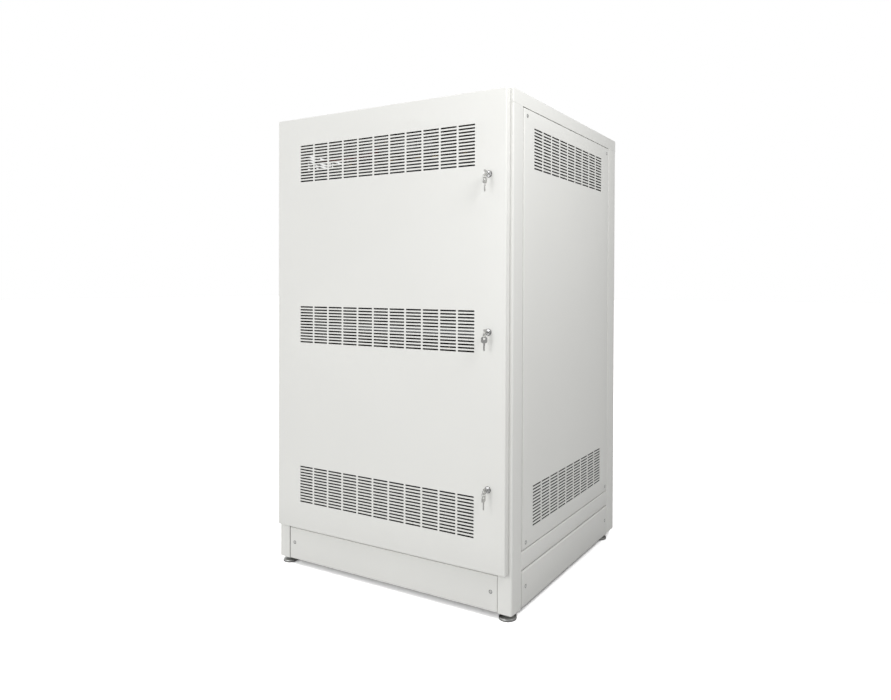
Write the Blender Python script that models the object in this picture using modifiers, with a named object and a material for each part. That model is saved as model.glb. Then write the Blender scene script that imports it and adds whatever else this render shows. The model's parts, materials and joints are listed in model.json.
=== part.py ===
"""Floor-standing vented battery cabinet: sheet-steel frame, one locked door, four tiers of sealed blocks.

Frame of the model: metres, +Z up, X across the door, -Y towards the person at the door.
The origin is on the floor, below the middle of the whole object, keys included.
"""

import math

import bmesh
import bpy
from mathutils import Matrix, Vector

# ---------------------------------------------------------------- driving dimensions, metres
WIDTH = 0.900
BODY_DEPTH = 0.830
TOP = 1.500
BODY_BOTTOM = 0.020
DOOR_PROUD = 0.020

TOUCH = 0.0003
GAP = 0.003
FRAME_SHEET = 0.002
PANEL_SHEET = 0.0015
CORNER_RADIUS = 0.006
PAN_RADIUS = 0.003
CHANNEL_RADIUS = 0.0015
CUT_REACH = 0.010

POST_FACE = 0.045
FRONT_POST_SIDE = 0.060
REAR_POST_SIDE = 0.074
SEAT_RECESS = 0.010
SEAT_WIDTH = 0.034
PANEL_RECESS = 0.0005
PANEL_SCREW_INSET = 0.022
PANEL_SCREW_RISE = 0.021

PLINTH_TOP = 0.126
RAIL_TOP = 0.182
COVER_BOTTOM = 1.458
RAIL_DEPTH = 0.0095

SILL_DEPTH = 0.030
SILL_TAB_INSET = 0.0235
SILL_TAB_WIDTH = 0.030
SILL_TAB_PLACE = 0.0105
SILL_TAB_RISE = 0.035
TRAY_FRONT = 0.066
TRAY_REAR = 0.022
TRAY_DEPTH = 0.040
ENTRY_LAND = 0.012

DOOR_MARGIN = 0.011
DOOR_BOTTOM = 0.135
DOOR_TOP = 1.498
DOOR_STANDOFF = 0.0025
DOOR_RADIUS = 0.004
STIFFENER_LEFT = -0.400
STIFFENER_RIGHT = 0.366
STIFFENER_BOTTOM = 0.185
STIFFENER_TOP = 1.448
STIFFENER_BAR = 0.018
STIFFENER_SHEET = 0.003
STIFFENER_CLEARANCE = 0.006
GASKET_LAP = 0.015
GASKET_RISE = 0.016
GASKET_COVER_LAP = 0.022
GASKET_STRIP = 0.010

SLOT_HEIGHT = 0.0048
SLOT_PITCH = 0.0096
SLOT_ROWS = 13
DOOR_VENT_WIDTH = 0.674
DOOR_VENT_SPACING = 0.530
DOOR_SLOTS_PER_ROW = 3
SLOT_BRIDGE = 0.0062
SLOT_REACH = 0.005
SIDE_VENT_START = 0.128
SIDE_VENT_WIDTH = 0.550
SIDE_VENT_HEIGHTS = (0.297, 1.350)

HINGE_INSET = 0.006
HINGE_DEPTH = 0.011
HINGE_HEIGHTS = (0.250, 0.8165, 1.383)
KNUCKLE_RADIUS = 0.0042
HINGE_PIN_RADIUS = 0.0022
KNUCKLE_LENGTH = 0.024
HINGE_LEAF = 0.0125
HINGE_LEAF_SHEET = 0.0018
HINGE_LEAF_INSET = 0.0015
HINGE_ARM_HALF = 0.002
HINGE_PLAY = 0.0005
PIN_END = 0.002
PIN_CHAMFER = 0.001
SLEEVE_PLAY = 0.00008
SLEEVE_LIFT = 0.0004
HINGE_WEB_START = 0.0030
HINGE_WEB_SHEET = 0.0020
HINGE_WEB_LIFT = 0.0006
HINGE_WEB_REACH = 0.0010
NOTCH_ROOM = 0.004
NOTCH_DEPTH = 0.0160
NOTCH_WIDTH = 0.0035

LOCK_INSET = 0.056
LOCK_SPACING = 0.444
LOCK_FACE_RADIUS = 0.0095
LOCK_BARREL_RADIUS = 0.0082
PLUG_RADIUS = 0.0058
CAM_LENGTH = 0.042
CAM_WIDTH = 0.016
CAM_SHEET = 0.0025
SQUARE_SIDE = 0.0070
SQUARE_START = 0.002
SQUARE_END = 0.0095
LOCK_FIT = 0.0002
BEZEL_CHAMFER = 0.001
LOCK_NUT_WALL = 0.0035
LOCK_NUT_LENGTH = 0.004
BARREL_TAIL = 0.002
PLUG_TAIL = 0.003
KEYWAY_HALF = 0.0013
KEYWAY_END = 0.0005
KEYWAY_REACH = 0.002
CAM_PLACE = 0.0040
LOCK_DRILL_REACH = 0.008

KEY_LENGTH = 0.040
KEY_SHEET = 0.002
BOW_WIDTH = 0.018
BOW_LENGTH = 0.018
BOW_CORNER = 0.005
BLADE_WIDTH = 0.0055
KEY_HOLE_RADIUS = 0.0035
KEY_HOLE_INSET = 0.0055
KEY_NECK = 0.008
KEY_CLEARANCE = 0.0005
LOCK_FACE_PROUD = 0.0025
RING_RADIUS = 0.006
RING_WIRE = 0.0006
WIRE_DROP = 0.0025
SPARE_KEY_TURN = {"top": math.radians(-8), "middle": math.radians(-53), "bottom": math.radians(-6)}
RING_TURN = {"top": 0.0, "middle": math.radians(-26), "bottom": 0.0}

SCREW_HEAD_RADIUS = 0.0055
SCREW_HEAD_HEIGHT = 0.0026

PLINTH_SCREW_HEIGHT = 0.076

FOOT_RADIUS = 0.026
FOOT_INSET = 0.026
REAR_FOOT_INSET = 0.081
FOOT_CHAMFER = 0.0015
FOOT_RIM_TOP = 0.0070
FOOT_SHOULDER_INSET = 0.0025
FOOT_SHOULDER_HEIGHT = 0.0095
FOOT_DOME_RADIUS = 0.0161
FOOT_DOME_HEIGHT = 0.0115
STUD_RADIUS = 0.006
STUD_LENGTH = 0.070
STUD_CHAMFER = 0.001
STUD_DRILL_REACH = 0.02
NUT_RADIUS = 0.0095
NUT_HEIGHT = 0.006
NUT_PLAY = 0.001

SHELF_HEIGHTS = (0.500, 0.818, 1.136)
SHELF_FRONT = 0.070
SHELF_DEPTH = 0.690
BLOCK_FRONT = 0.075
SHELF_LIP = 0.022
SHELF_RADIUS = 0.002
BLOCK_WIDTH = 0.166
BLOCK_DEPTH = 0.330
BLOCK_HEIGHT = 0.210
BLOCKS_ACROSS = 5
BLOCKS_DEEP = 2
BLOCK_GAP = 0.008
BLOCK_ROW_GAP = 0.012
MAT_SHEET = 0.0015
CASE_DROP = 0.012
LID_INSET = 0.004
LID_DEPTH = 0.020
TERMINAL_INSET = 0.030
TERMINAL_RADIUS = 0.007
TERMINAL_HEIGHT = 0.004
TERMINAL_SINK = 0.002

BRACKET_PLACE = 0.060
BRACKET_HALF = 0.135
BRACKET_BOTTOM = 1.372
BRACKET_FLANGE = 0.030
BREAKER_X = -0.045
BREAKER_SIZE = (0.090, 0.044, 0.080)
BREAKER_MIDDLE = 1.425
BREAKER_BEVEL = 0.003
TOGGLE_DEPTH = 0.007
TOGGLE_SLOT = (0.0125, 0.0100, 0.0100)
TOGGLE_SLOT_REACH = 0.020
ROTOR_RADIUS = 0.0080
ROTOR_HALF = 0.0115
LEVER_HALF = 0.009
LEVER_REACH = 0.022
LEVER_ROOT = 0.002
LEVER_SHEET_HALF = 0.0026
TOGGLE_TILT = math.radians(25)
TERMINAL_BLOCK_X = 0.085
TERMINAL_BLOCK_SIZE = (0.060, 0.036, 0.050)
TERMINAL_BLOCK_BEVEL = 0.002
OUTPUT_STUDS = (-0.015, 0.015)
OUTPUT_STUD_RADIUS = 0.004
OUTPUT_STUD_LENGTH = 0.010
CABLE_RADIUS = 0.005
CABLE_INSET = 0.018
CABLE_BREAKER_SHIFT = 0.020

GLAND_HALF_WIDTH = 0.150
GLAND_HALF_DEPTH = 0.0255
GLAND_SETBACK = 0.050
GLAND_HOLES = (-0.09, -0.03, 0.03, 0.09)
GLAND_HOLE_RADIUS = 0.012

# ---------------------------------------------------------------- places that follow
HALF = WIDTH / 2
KEY_HOLE_REACH = DOOR_PROUD + LOCK_FACE_PROUD + KEY_CLEARANCE + KEY_NECK + BOW_LENGTH - KEY_HOLE_INSET
TOP_TURN = SPARE_KEY_TURN["top"]
SPARE_REACH = BOW_WIDTH / 2 * math.cos(TOP_TURN) - KEY_SHEET / 2 * math.sin(TOP_TURN)
FRONT = -(BODY_DEPTH - KEY_HOLE_REACH - SPARE_REACH) / 2
REAR = FRONT + BODY_DEPTH
DOOR_HALF = HALF - DOOR_MARGIN
DOOR_MIDDLE = (DOOR_BOTTOM + DOOR_TOP) / 2
DOOR_FACE = FRONT - DOOR_PROUD
DOOR_SKIN_BACK = DOOR_FACE + PANEL_SHEET
OPENING_HALF = HALF - POST_FACE
HINGE_AXIS = Vector((-DOOR_HALF + HINGE_INSET, FRONT - HINGE_DEPTH, DOOR_MIDDLE))
LOCK_X = DOOR_HALF - LOCK_INSET
LOCK_HEIGHTS = {
    "top": DOOR_MIDDLE + LOCK_SPACING,
    "middle": DOOR_MIDDLE,
    "bottom": DOOR_MIDDLE - LOCK_SPACING,
}
SHELF_HALF = HALF - SEAT_RECESS - FRAME_SHEET - TOUCH
TRAY_TOP = RAIL_TOP
GLAND_MIDDLE = REAR - GLAND_SETBACK

ALONG_X = Matrix.Rotation(math.radians(90), 4, "Y")
ALONG_MINUS_Y = Matrix.Rotation(math.radians(90), 4, "X")
KEY_HANGING = Matrix.Rotation(math.radians(90), 4, "Z") @ ALONG_MINUS_Y
KEY_IN_LOCK = Matrix(((0, 0, 1, 0), (0, -1, 0, 0), (1, 0, 0, 0), (0, 0, 0, 1)))


# ---------------------------------------------------------------- scene, collections, materials
def clear_scene():
    for old in list(bpy.data.objects):
        bpy.data.objects.remove(old, do_unlink=True)


def new_collection(name):
    collection = bpy.data.collections.new(name)
    bpy.context.scene.collection.children.link(collection)
    return collection


def new_material(name, colour, roughness, metallic):
    material = bpy.data.materials.new(name)
    material.use_nodes = True
    shader = material.node_tree.nodes["Principled BSDF"]
    shader.inputs["Base Color"].default_value = (*colour, 1.0)
    shader.inputs["Roughness"].default_value = roughness
    shader.inputs["Metallic"].default_value = metallic
    material.diffuse_color = (*colour, 1.0)
    return material


clear_scene()
PARTS = new_collection("battery_cabinet")
CUTTERS = new_collection("cutters")
PAINT = new_material("off_white_powder_coat", (0.80, 0.80, 0.77), 0.45, 0.0)
ZINC = new_material("zinc_plated_steel", (0.62, 0.63, 0.64), 0.35, 1.0)
CHROME = new_material("chromed_lock", (0.75, 0.75, 0.76), 0.15, 1.0)
FOAM = new_material("black_foam", (0.03, 0.03, 0.03), 0.9, 0.0)
BATTERY = new_material("dark_grey_abs", (0.07, 0.07, 0.08), 0.5, 0.0)
BREAKER_PLASTIC = new_material("breaker_plastic", (0.14, 0.14, 0.15), 0.45, 0.0)
TOGGLE_PLASTIC = new_material("toggle_plastic", (0.02, 0.02, 0.02), 0.4, 0.0)
RED_CABLE = new_material("red_cable", (0.45, 0.03, 0.02), 0.45, 0.0)
BLACK_CABLE = new_material("black_cable", (0.02, 0.02, 0.02), 0.45, 0.0)


# ---------------------------------------------------------------- shape helpers
def place(obj, at, parent=None):
    obj.location = Vector(at)
    if parent is not None:
        obj.parent = parent
        obj.location = Vector(at) - parent.matrix_world.translation
    return obj


def pivot(name, at, parent=None):
    empty = bpy.data.objects.new(name, None)
    PARTS.objects.link(empty)
    place(empty, at, parent)
    bpy.context.view_layer.update()
    return empty


def object_of(name, mesh, material=None, at=(0, 0, 0), parent=None):
    """Material None makes a cutter or a union's second half, which the build leaves out."""
    obj = bpy.data.objects.new(name, mesh)
    if material is None:
        CUTTERS.objects.link(obj)
        obj.hide_render = True
        obj.display_type = "WIRE"
    else:
        PARTS.objects.link(obj)
        mesh.materials.append(material)
    return place(obj, at, parent)


def mesh_of(name, bm):
    bmesh.ops.recalc_face_normals(bm, faces=bm.faces)
    mesh = bpy.data.meshes.new(name)
    bm.to_mesh(mesh)
    bm.free()
    return mesh


def add_box(bm, low, high):
    size = Vector(high) - Vector(low)
    middle = (Vector(high) + Vector(low)) / 2
    matrix = Matrix.Translation(middle) @ Matrix.Diagonal((*size, 1.0))
    return bmesh.ops.create_cube(bm, size=1.0, matrix=matrix)["verts"]


def boxes(name, corners, material=None, at=(0, 0, 0), parent=None):
    bm = bmesh.new()
    for low, high in corners:
        add_box(bm, low, high)
    return object_of(name, mesh_of(name, bm), material, at, parent)


def combine(obj, other, operation):
    modifier = obj.modifiers.new(f"{operation.lower()}_{other.name}", "BOOLEAN")
    modifier.operation = operation
    modifier.solver = "EXACT"
    modifier.object = other
    return obj


def bevelled(obj, width, segments=2):
    modifier = obj.modifiers.new("rounded_edges", "BEVEL")
    modifier.width = width
    modifier.segments = segments
    modifier.limit_method = "ANGLE"
    return obj


def thickened(obj, sheet, offset):
    modifier = obj.modifiers.new("sheet", "SOLIDIFY")
    modifier.thickness = sheet
    modifier.offset = offset
    modifier.use_even_offset = True
    return obj


def smoothed(obj):
    obj.data.shade_smooth()
    obj.data.set_sharp_from_angle(angle=math.radians(35))
    return obj


def arc_corner(before, corner, after, radius, steps=4):
    """Points of a round bend of a sheet at one corner of its path."""
    first = (Vector(before) - Vector(corner)).normalized()
    last = (Vector(after) - Vector(corner)).normalized()
    half = first.angle(last) / 2
    centre = Vector(corner) + (first + last).normalized() * radius / math.sin(half)
    start = Vector(corner) + first * radius / math.tan(half) - centre
    end = Vector(corner) + last * radius / math.tan(half) - centre
    return [centre + start.slerp(end, step / steps).normalized() * radius for step in range(steps + 1)]


def folded_sheet(name, path, bottom, top, sheet, outside, material, bend=None):
    """A sheet bent along a path in plan, standing from bottom to top, thickened away from outside."""
    points = [Vector(point) for point in path]
    if bend is not None:
        at, radius = bend
        points[at:at + 1] = arc_corner(points[at - 1], points[at], points[at + 1], radius)
    bm = bmesh.new()
    line = [bm.verts.new((point.x, point.y, bottom)) for point in points]
    edges = [bm.edges.new(pair) for pair in zip(line, line[1:])]
    raised = bmesh.ops.extrude_edge_only(bm, edges=edges)["geom"]
    tops = [item for item in raised if isinstance(item, bmesh.types.BMVert)]
    bmesh.ops.translate(bm, vec=(0, 0, top - bottom), verts=tops)
    bmesh.ops.recalc_face_normals(bm, faces=bm.faces)
    if line[0].link_faces[0].normal.dot(Vector(outside)) < 0:
        bmesh.ops.reverse_faces(bm, faces=bm.faces)
    mesh = bpy.data.meshes.new(name)
    bm.to_mesh(mesh)
    bm.free()
    return thickened(object_of(name, mesh, material), sheet, -1.0)


def pan(name, low, high, open_side, radius, sheet, material, segments=2, parent=None, at=(0, 0, 0)):
    """A sheet pan: a box open on one side, its other edges rounded, thickened inwards."""
    bm = bmesh.new()
    add_box(bm, low, high)
    side = Vector(open_side)
    bmesh.ops.recalc_face_normals(bm, faces=bm.faces)
    opened = [face for face in bm.faces if face.normal.dot(side) > 0.9]
    bmesh.ops.delete(bm, geom=opened, context="FACES")
    kept = [edge for edge in bm.edges if len(edge.link_faces) == 2]
    bmesh.ops.bevel(bm, geom=kept, offset=radius, segments=segments, profile=0.5, affect="EDGES")
    obj = object_of(name, mesh_of(name, bm), material, at, parent)
    return smoothed(thickened(obj, sheet, -1.0))


def turned(name, profile, turn, material, at=(0, 0, 0), parent=None, steps=20):
    """A profile of (radius, height) points, from top to bottom, turned about Z and then laid along turn.

    A closed profile repeats its first point at its end.
    """
    closed = profile[0] == profile[-1]
    points = [(radius, 0.0, height) for radius, height in (profile[:-1] if closed else profile)]
    lines = [(index, index + 1) for index in range(len(points) - 1)]
    if closed:
        lines.append((len(points) - 1, 0))
    mesh = bpy.data.meshes.new(name)
    mesh.from_pydata(points, lines, [])
    obj = object_of(name, mesh, material, at, parent)
    screw = obj.modifiers.new("turned", "SCREW")
    screw.axis = "Z"
    screw.steps = steps
    screw.render_steps = steps
    screw.use_merge_vertices = True
    screw.merge_threshold = 0.00001
    screw.use_smooth_shade = True
    obj.rotation_euler = turn.to_euler()
    return obj


def flat_outline(name, outlines, thickness, turn, material, at=(0, 0, 0), parent=None):
    """Closed outlines in the local XY plane, the later ones being holes, made a plate and then turned."""
    curve = bpy.data.curves.new(name, "CURVE")
    curve.dimensions = "2D"
    curve.fill_mode = "BOTH"
    curve.extrude = thickness / 2
    for outline in outlines:
        spline = curve.splines.new("POLY")
        spline.points.add(len(outline) - 1)
        for point, (x, y) in zip(spline.points, outline):
            point.co = (x, y, 0.0, 1.0)
        spline.use_cyclic_u = True
    obj = object_of(name, curve, material, at, parent)
    obj.rotation_euler = turn.to_euler()
    return obj


def circle(x, y, radius, steps, start=0.0, sweep=2 * math.pi):
    """Points round a circle; a whole turn leaves out the last one, which would repeat the first."""
    whole = abs(sweep - 2 * math.pi) < 1e-6
    count = steps if whole else steps + 1
    angles = [start + sweep * step / steps for step in range(count)]
    return [(x + radius * math.cos(angle), y + radius * math.sin(angle)) for angle in angles]


def mirrored_path(path):
    return [(-x, y) for x, y in path]


# ---------------------------------------------------------------- frame
def add_post(name, side, is_front):
    """A corner post: face wall, round corner, side wall and a seat strip stepped in for the side panel."""
    face_y = FRONT if is_front else REAR
    inward = 1 if is_front else -1
    depth = (FRONT_POST_SIDE if is_front else REAR_POST_SIDE) - GAP / 2
    seat_x = HALF - SEAT_RECESS
    path = [] if is_front else [
        (OPENING_HALF - SEAT_WIDTH, face_y + inward * SEAT_RECESS),
        (OPENING_HALF, face_y + inward * SEAT_RECESS),
    ]
    path += [
        (OPENING_HALF, face_y),
        (HALF, face_y),
        (HALF, face_y + inward * depth),
        (seat_x, face_y + inward * depth),
        (seat_x, face_y + inward * (depth + SEAT_WIDTH)),
    ]
    if side < 0:
        path = mirrored_path(path)
    outside = (0, -inward, 0)
    bend = (len(path) - 4, CORNER_RADIUS)
    top = COVER_BOTTOM + GAP / 2 - TOUCH
    post = folded_sheet(name, path, BODY_BOTTOM, top, FRAME_SHEET, outside, PAINT, bend)
    wall = FRAME_SHEET / 2
    plate_end = (depth if is_front else depth + SEAT_WIDTH) - wall
    plate_outer = (HALF if is_front else seat_x) - wall
    plate_low = (side * (OPENING_HALF + wall), face_y + inward * wall, BODY_BOTTOM)
    plate_high = (side * plate_outer, face_y + inward * plate_end, BODY_BOTTOM + 2 * FRAME_SHEET)
    low = [min(a, b) for a, b in zip(plate_low, plate_high)]
    high = [max(a, b) for a, b in zip(plate_low, plate_high)]
    combine(post, boxes(f"{name}_foot_plate", [(low, high)]), "UNION")
    foot_x, foot_y = foot_place(side, is_front)
    drill = turned(f"{name}_stud_hole", drill_profile(STUD_RADIUS + TOUCH, STUD_DRILL_REACH), Matrix(), None,
                   (foot_x, foot_y, BODY_BOTTOM), steps=16)
    combine(post, drill, "DIFFERENCE")
    return smoothed(post)


def drill_profile(radius, reach):
    return [(0.0, reach), (radius, reach), (radius, -reach), (0.0, -reach)]


def foot_place(side, is_front):
    return side * (HALF - FOOT_INSET), (FRONT + FOOT_INSET) if is_front else (REAR - REAR_FOOT_INSET)


def add_frame():
    for side, word in ((-1, "left"), (1, "right")):
        add_post(f"post_front_{word}", side, True)
        add_post(f"post_rear_{word}", side, False)
        add_side_rail(f"side_rail_{word}", side)
    cover_low = (-HALF, FRONT, COVER_BOTTOM + GAP / 2)
    pan("top_cover", cover_low, (HALF, REAR, TOP), (0, 0, -1), PAN_RADIUS, FRAME_SHEET, PAINT)
    add_front_sill()
    add_floor_tray()


def add_side_rail(name, side):
    """A channel between the posts, below the side panel, its flanges turned in to the seat strips."""
    outer = side * HALF
    inner = side * (HALF - RAIL_DEPTH)
    start = FRONT + FRONT_POST_SIDE - GAP / 2 + TOUCH
    end = REAR - REAR_POST_SIDE + GAP / 2 - TOUCH
    low = (min(outer, inner), start, PLINTH_TOP + GAP / 2)
    high = (max(outer, inner), end, RAIL_TOP - GAP / 2)
    return pan(name, low, high, (-side, 0, 0), CHANNEL_RADIUS, FRAME_SHEET, PAINT, segments=1)


def add_front_sill():
    """The channel below the door, with two tabs that hang down behind the front plinth panel."""
    edge = OPENING_HALF - TOUCH
    low = (-edge, FRONT, PLINTH_TOP + GAP / 2)
    high = (edge, FRONT + SILL_DEPTH, RAIL_TOP - GAP / 2)
    sill = pan("front_sill", low, high, (0, 1, 0), CHANNEL_RADIUS, FRAME_SHEET, PAINT, segments=1)
    tabs = []
    tab_y = FRONT + SILL_TAB_PLACE
    tab_top = PLINTH_TOP + GAP / 2 + FRAME_SHEET / 2
    for side in (-1, 1):
        near = side * (edge - SILL_TAB_INSET) - SILL_TAB_WIDTH / 2
        tab_low = (near, tab_y, BODY_BOTTOM + SILL_TAB_RISE)
        tabs.append((tab_low, (near + SILL_TAB_WIDTH, tab_y + FRAME_SHEET, tab_top)))
    return combine(sill, boxes("front_sill_tabs", tabs), "UNION")


def add_floor_tray():
    """The floor of the cabinet: a tray between the seat strips, with the cable entry cut in its rear."""
    low = (-SHELF_HALF, FRONT + TRAY_FRONT, RAIL_TOP - TRAY_DEPTH)
    high = (SHELF_HALF, REAR - TRAY_REAR, TRAY_TOP)
    tray = pan("floor_tray", low, high, (0, 0, -1), PAN_RADIUS, FRAME_SHEET, PAINT)
    entry_half = (GLAND_HALF_WIDTH - ENTRY_LAND, GLAND_HALF_DEPTH - ENTRY_LAND)
    entry_low = (-entry_half[0], GLAND_MIDDLE - entry_half[1], TRAY_TOP - CUT_REACH)
    entry_high = (entry_half[0], GLAND_MIDDLE + entry_half[1], TRAY_TOP + CUT_REACH)
    combine(tray, boxes("cable_entry_cut", [(entry_low, entry_high)]), "DIFFERENCE")
    plate_low = (-GLAND_HALF_WIDTH, GLAND_MIDDLE - GLAND_HALF_DEPTH, TRAY_TOP + TOUCH)
    plate_high = (GLAND_HALF_WIDTH, GLAND_MIDDLE + GLAND_HALF_DEPTH, TRAY_TOP + TOUCH + FRAME_SHEET)
    plate = boxes("gland_plate", [(plate_low, plate_high)], ZINC)
    for index, x in enumerate(GLAND_HOLES):
        drill = turned(f"gland_hole_{index}", drill_profile(GLAND_HOLE_RADIUS, CUT_REACH), Matrix(), None,
                       (x, GLAND_MIDDLE, TRAY_TOP), steps=20)
        combine(plate, drill, "DIFFERENCE")
    return tray


# ---------------------------------------------------------------- panels
def slot_boxes(centre, width, per_row, axis, reach):
    """Boxes for one vent: rows of slots in the plane across axis, centred on centre."""
    cuts = []
    slot = (width - (per_row - 1) * SLOT_BRIDGE) / per_row
    for row in range(SLOT_ROWS):
        z = centre[2] + (row - (SLOT_ROWS - 1) / 2) * SLOT_PITCH
        for column in range(per_row):
            start = -width / 2 + column * (slot + SLOT_BRIDGE)
            if axis == "Y":
                low = (centre[0] + start, centre[1] - reach, z - SLOT_HEIGHT / 2)
                high = (centre[0] + start + slot, centre[1] + reach, z + SLOT_HEIGHT / 2)
            else:
                low = (centre[0] - reach, centre[1] + start, z - SLOT_HEIGHT / 2)
                high = (centre[0] + reach, centre[1] + start + slot, z + SLOT_HEIGHT / 2)
            cuts.append((low, high))
    return cuts


def add_side_panel(name, side):
    """A removable pan on the seat strips: two vents, a small screw in each corner."""
    outer = side * (HALF - PANEL_RECESS)
    inner = side * (HALF - SEAT_RECESS + TOUCH)
    front = FRONT + FRONT_POST_SIDE + GAP / 2
    rear = REAR - REAR_POST_SIDE - GAP / 2
    low = (min(outer, inner), front, RAIL_TOP + GAP / 2)
    high = (max(outer, inner), rear, COVER_BOTTOM - GAP / 2)
    panel = pan(name, low, high, (-side, 0, 0), PAN_RADIUS, PANEL_SHEET, PAINT)
    middle = FRONT + SIDE_VENT_START + SIDE_VENT_WIDTH / 2
    cuts = []
    for height in SIDE_VENT_HEIGHTS:
        cuts += slot_boxes((outer, middle, height), SIDE_VENT_WIDTH, 1, "X", SLOT_REACH)
    combine(panel, boxes(f"{name}_slots", cuts), "DIFFERENCE")
    turn = ALONG_X if side > 0 else ALONG_X.inverted()
    for y in (front + PANEL_SCREW_INSET, rear - PANEL_SCREW_INSET):
        for z in (RAIL_TOP + PANEL_SCREW_RISE, COVER_BOTTOM - PANEL_SCREW_RISE):
            head = screw_head(f"{name}_screw_{y:.2f}_{z:.2f}", turn, (outer, y, z))
            combine(panel, head, "UNION")
    return panel


def screw_head(name, turn, at):
    """A pan head joined to its panel: a short turned button, sunk half a sheet into the face."""
    profile = [
        (0.0, SCREW_HEAD_HEIGHT),
        (SCREW_HEAD_RADIUS * 0.6, SCREW_HEAD_HEIGHT * 0.9),
        (SCREW_HEAD_RADIUS, SCREW_HEAD_HEIGHT * 0.4),
        (SCREW_HEAD_RADIUS, -PANEL_SHEET / 2),
        (0.0, -PANEL_SHEET / 2),
    ]
    return turned(name, profile, turn, None, at, steps=12)


def add_rear_panel():
    """A flat pan over the whole rear opening, from the bottom edge to the cover."""
    half = OPENING_HALF - GAP / 2
    low = (-half, REAR - SEAT_RECESS + TOUCH, BODY_BOTTOM + GAP)
    high = (half, REAR - PANEL_RECESS, COVER_BOTTOM - GAP / 2)
    return pan("rear_panel", low, high, (0, -1, 0), PAN_RADIUS, PANEL_SHEET, PAINT)


def add_side_plinth(name, side):
    outer = side * (HALF - PANEL_RECESS)
    inner = side * (HALF - SEAT_RECESS + TOUCH)
    front = FRONT + FRONT_POST_SIDE + GAP / 2
    rear = REAR - REAR_POST_SIDE - GAP / 2
    low = (min(outer, inner), front, BODY_BOTTOM)
    high = (max(outer, inner), rear, PLINTH_TOP - GAP / 2)
    panel = pan(name, low, high, (-side, 0, 0), PAN_RADIUS, PANEL_SHEET, PAINT)
    turn = ALONG_X if side > 0 else ALONG_X.inverted()
    for end, y in (("front", front + PANEL_SCREW_INSET), ("rear", rear - PANEL_SCREW_INSET)):
        head = screw_head(f"{name}_screw_{end}", turn, (outer, y, PLINTH_SCREW_HEIGHT))
        combine(panel, head, "UNION")
    return panel


def add_front_plinth():
    half = OPENING_HALF - GAP / 2
    low = (-half, FRONT + PANEL_RECESS, BODY_BOTTOM)
    high = (half, FRONT + SEAT_RECESS, PLINTH_TOP - GAP / 2)
    panel = pan("plinth_front", low, high, (0, 1, 0), PAN_RADIUS, PANEL_SHEET, PAINT)
    for side, word in ((-1, "left"), (1, "right")):
        at = (side * (half - PANEL_SCREW_INSET), FRONT + PANEL_RECESS, PLINTH_SCREW_HEIGHT)
        combine(panel, screw_head(f"plinth_front_screw_{word}", ALONG_MINUS_Y, at), "UNION")
    return panel


def add_panels():
    for side, word in ((-1, "left"), (1, "right")):
        add_side_panel(f"side_panel_{word}", side)
        add_side_plinth(f"plinth_{word}", side)
    add_rear_panel()
    add_front_plinth()


# ---------------------------------------------------------------- door
def add_door(door_pivot):
    """The door pan: three slotted vents, three lock holes, hinge notches in its left return."""
    low = Vector((-DOOR_HALF, DOOR_FACE, DOOR_BOTTOM)) - HINGE_AXIS
    high = Vector((DOOR_HALF, FRONT - DOOR_STANDOFF, DOOR_TOP)) - HINGE_AXIS
    panel = pan("door_panel", low, high, (0, 1, 0), DOOR_RADIUS, PANEL_SHEET, PAINT,
                parent=door_pivot, at=HINGE_AXIS)
    cuts = []
    for step in (-1, 0, 1):
        centre = (0.0, DOOR_FACE, DOOR_MIDDLE + step * DOOR_VENT_SPACING)
        cuts += slot_boxes(centre, DOOR_VENT_WIDTH, DOOR_SLOTS_PER_ROW, "Y", SLOT_REACH)
    for height in HINGE_HEIGHTS:
        notch_low = (-DOOR_HALF - CUT_REACH, FRONT - NOTCH_DEPTH, height - KNUCKLE_LENGTH - NOTCH_ROOM)
        cuts.append((notch_low, (-DOOR_HALF + NOTCH_WIDTH, FRONT, height + NOTCH_ROOM)))
    combine(panel, boxes("door_cuts", cuts, None, (0, 0, 0), door_pivot), "DIFFERENCE")
    for word, height in LOCK_HEIGHTS.items():
        profile = drill_profile(LOCK_BARREL_RADIUS + TOUCH, LOCK_DRILL_REACH)
        at = (LOCK_X, DOOR_FACE, height)
        drill = turned(f"door_hole_{word}", profile, ALONG_MINUS_Y, None, at, door_pivot)
        combine(panel, drill, "DIFFERENCE")
    add_door_stiffener(door_pivot)
    add_door_gasket(door_pivot)


def add_door_stiffener(door_pivot):
    """A ladder of flat bars behind the skin, between and beside the vents."""
    front = DOOR_SKIN_BACK + TOUCH
    back = front + STIFFENER_SHEET
    corners = [((STIFFENER_LEFT, front, STIFFENER_BOTTOM), (STIFFENER_RIGHT, back, STIFFENER_TOP))]
    plate = boxes("door_stiffener", corners, ZINC, parent=door_pivot)
    openings = []
    half = DOOR_VENT_WIDTH / 2 + STIFFENER_CLEARANCE
    edges = [STIFFENER_BOTTOM + STIFFENER_BAR]
    for step in (-0.5, 0.5):
        middle = DOOR_MIDDLE + step * DOOR_VENT_SPACING
        edges += [middle - STIFFENER_BAR, middle + STIFFENER_BAR]
    edges.append(STIFFENER_TOP - STIFFENER_BAR)
    for low, high in zip(edges[0::2], edges[1::2]):
        openings.append(((-half, front - CUT_REACH, low), (half, back + CUT_REACH, high)))
    return combine(plate, boxes("door_stiffener_openings", openings, parent=door_pivot), "DIFFERENCE")


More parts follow.
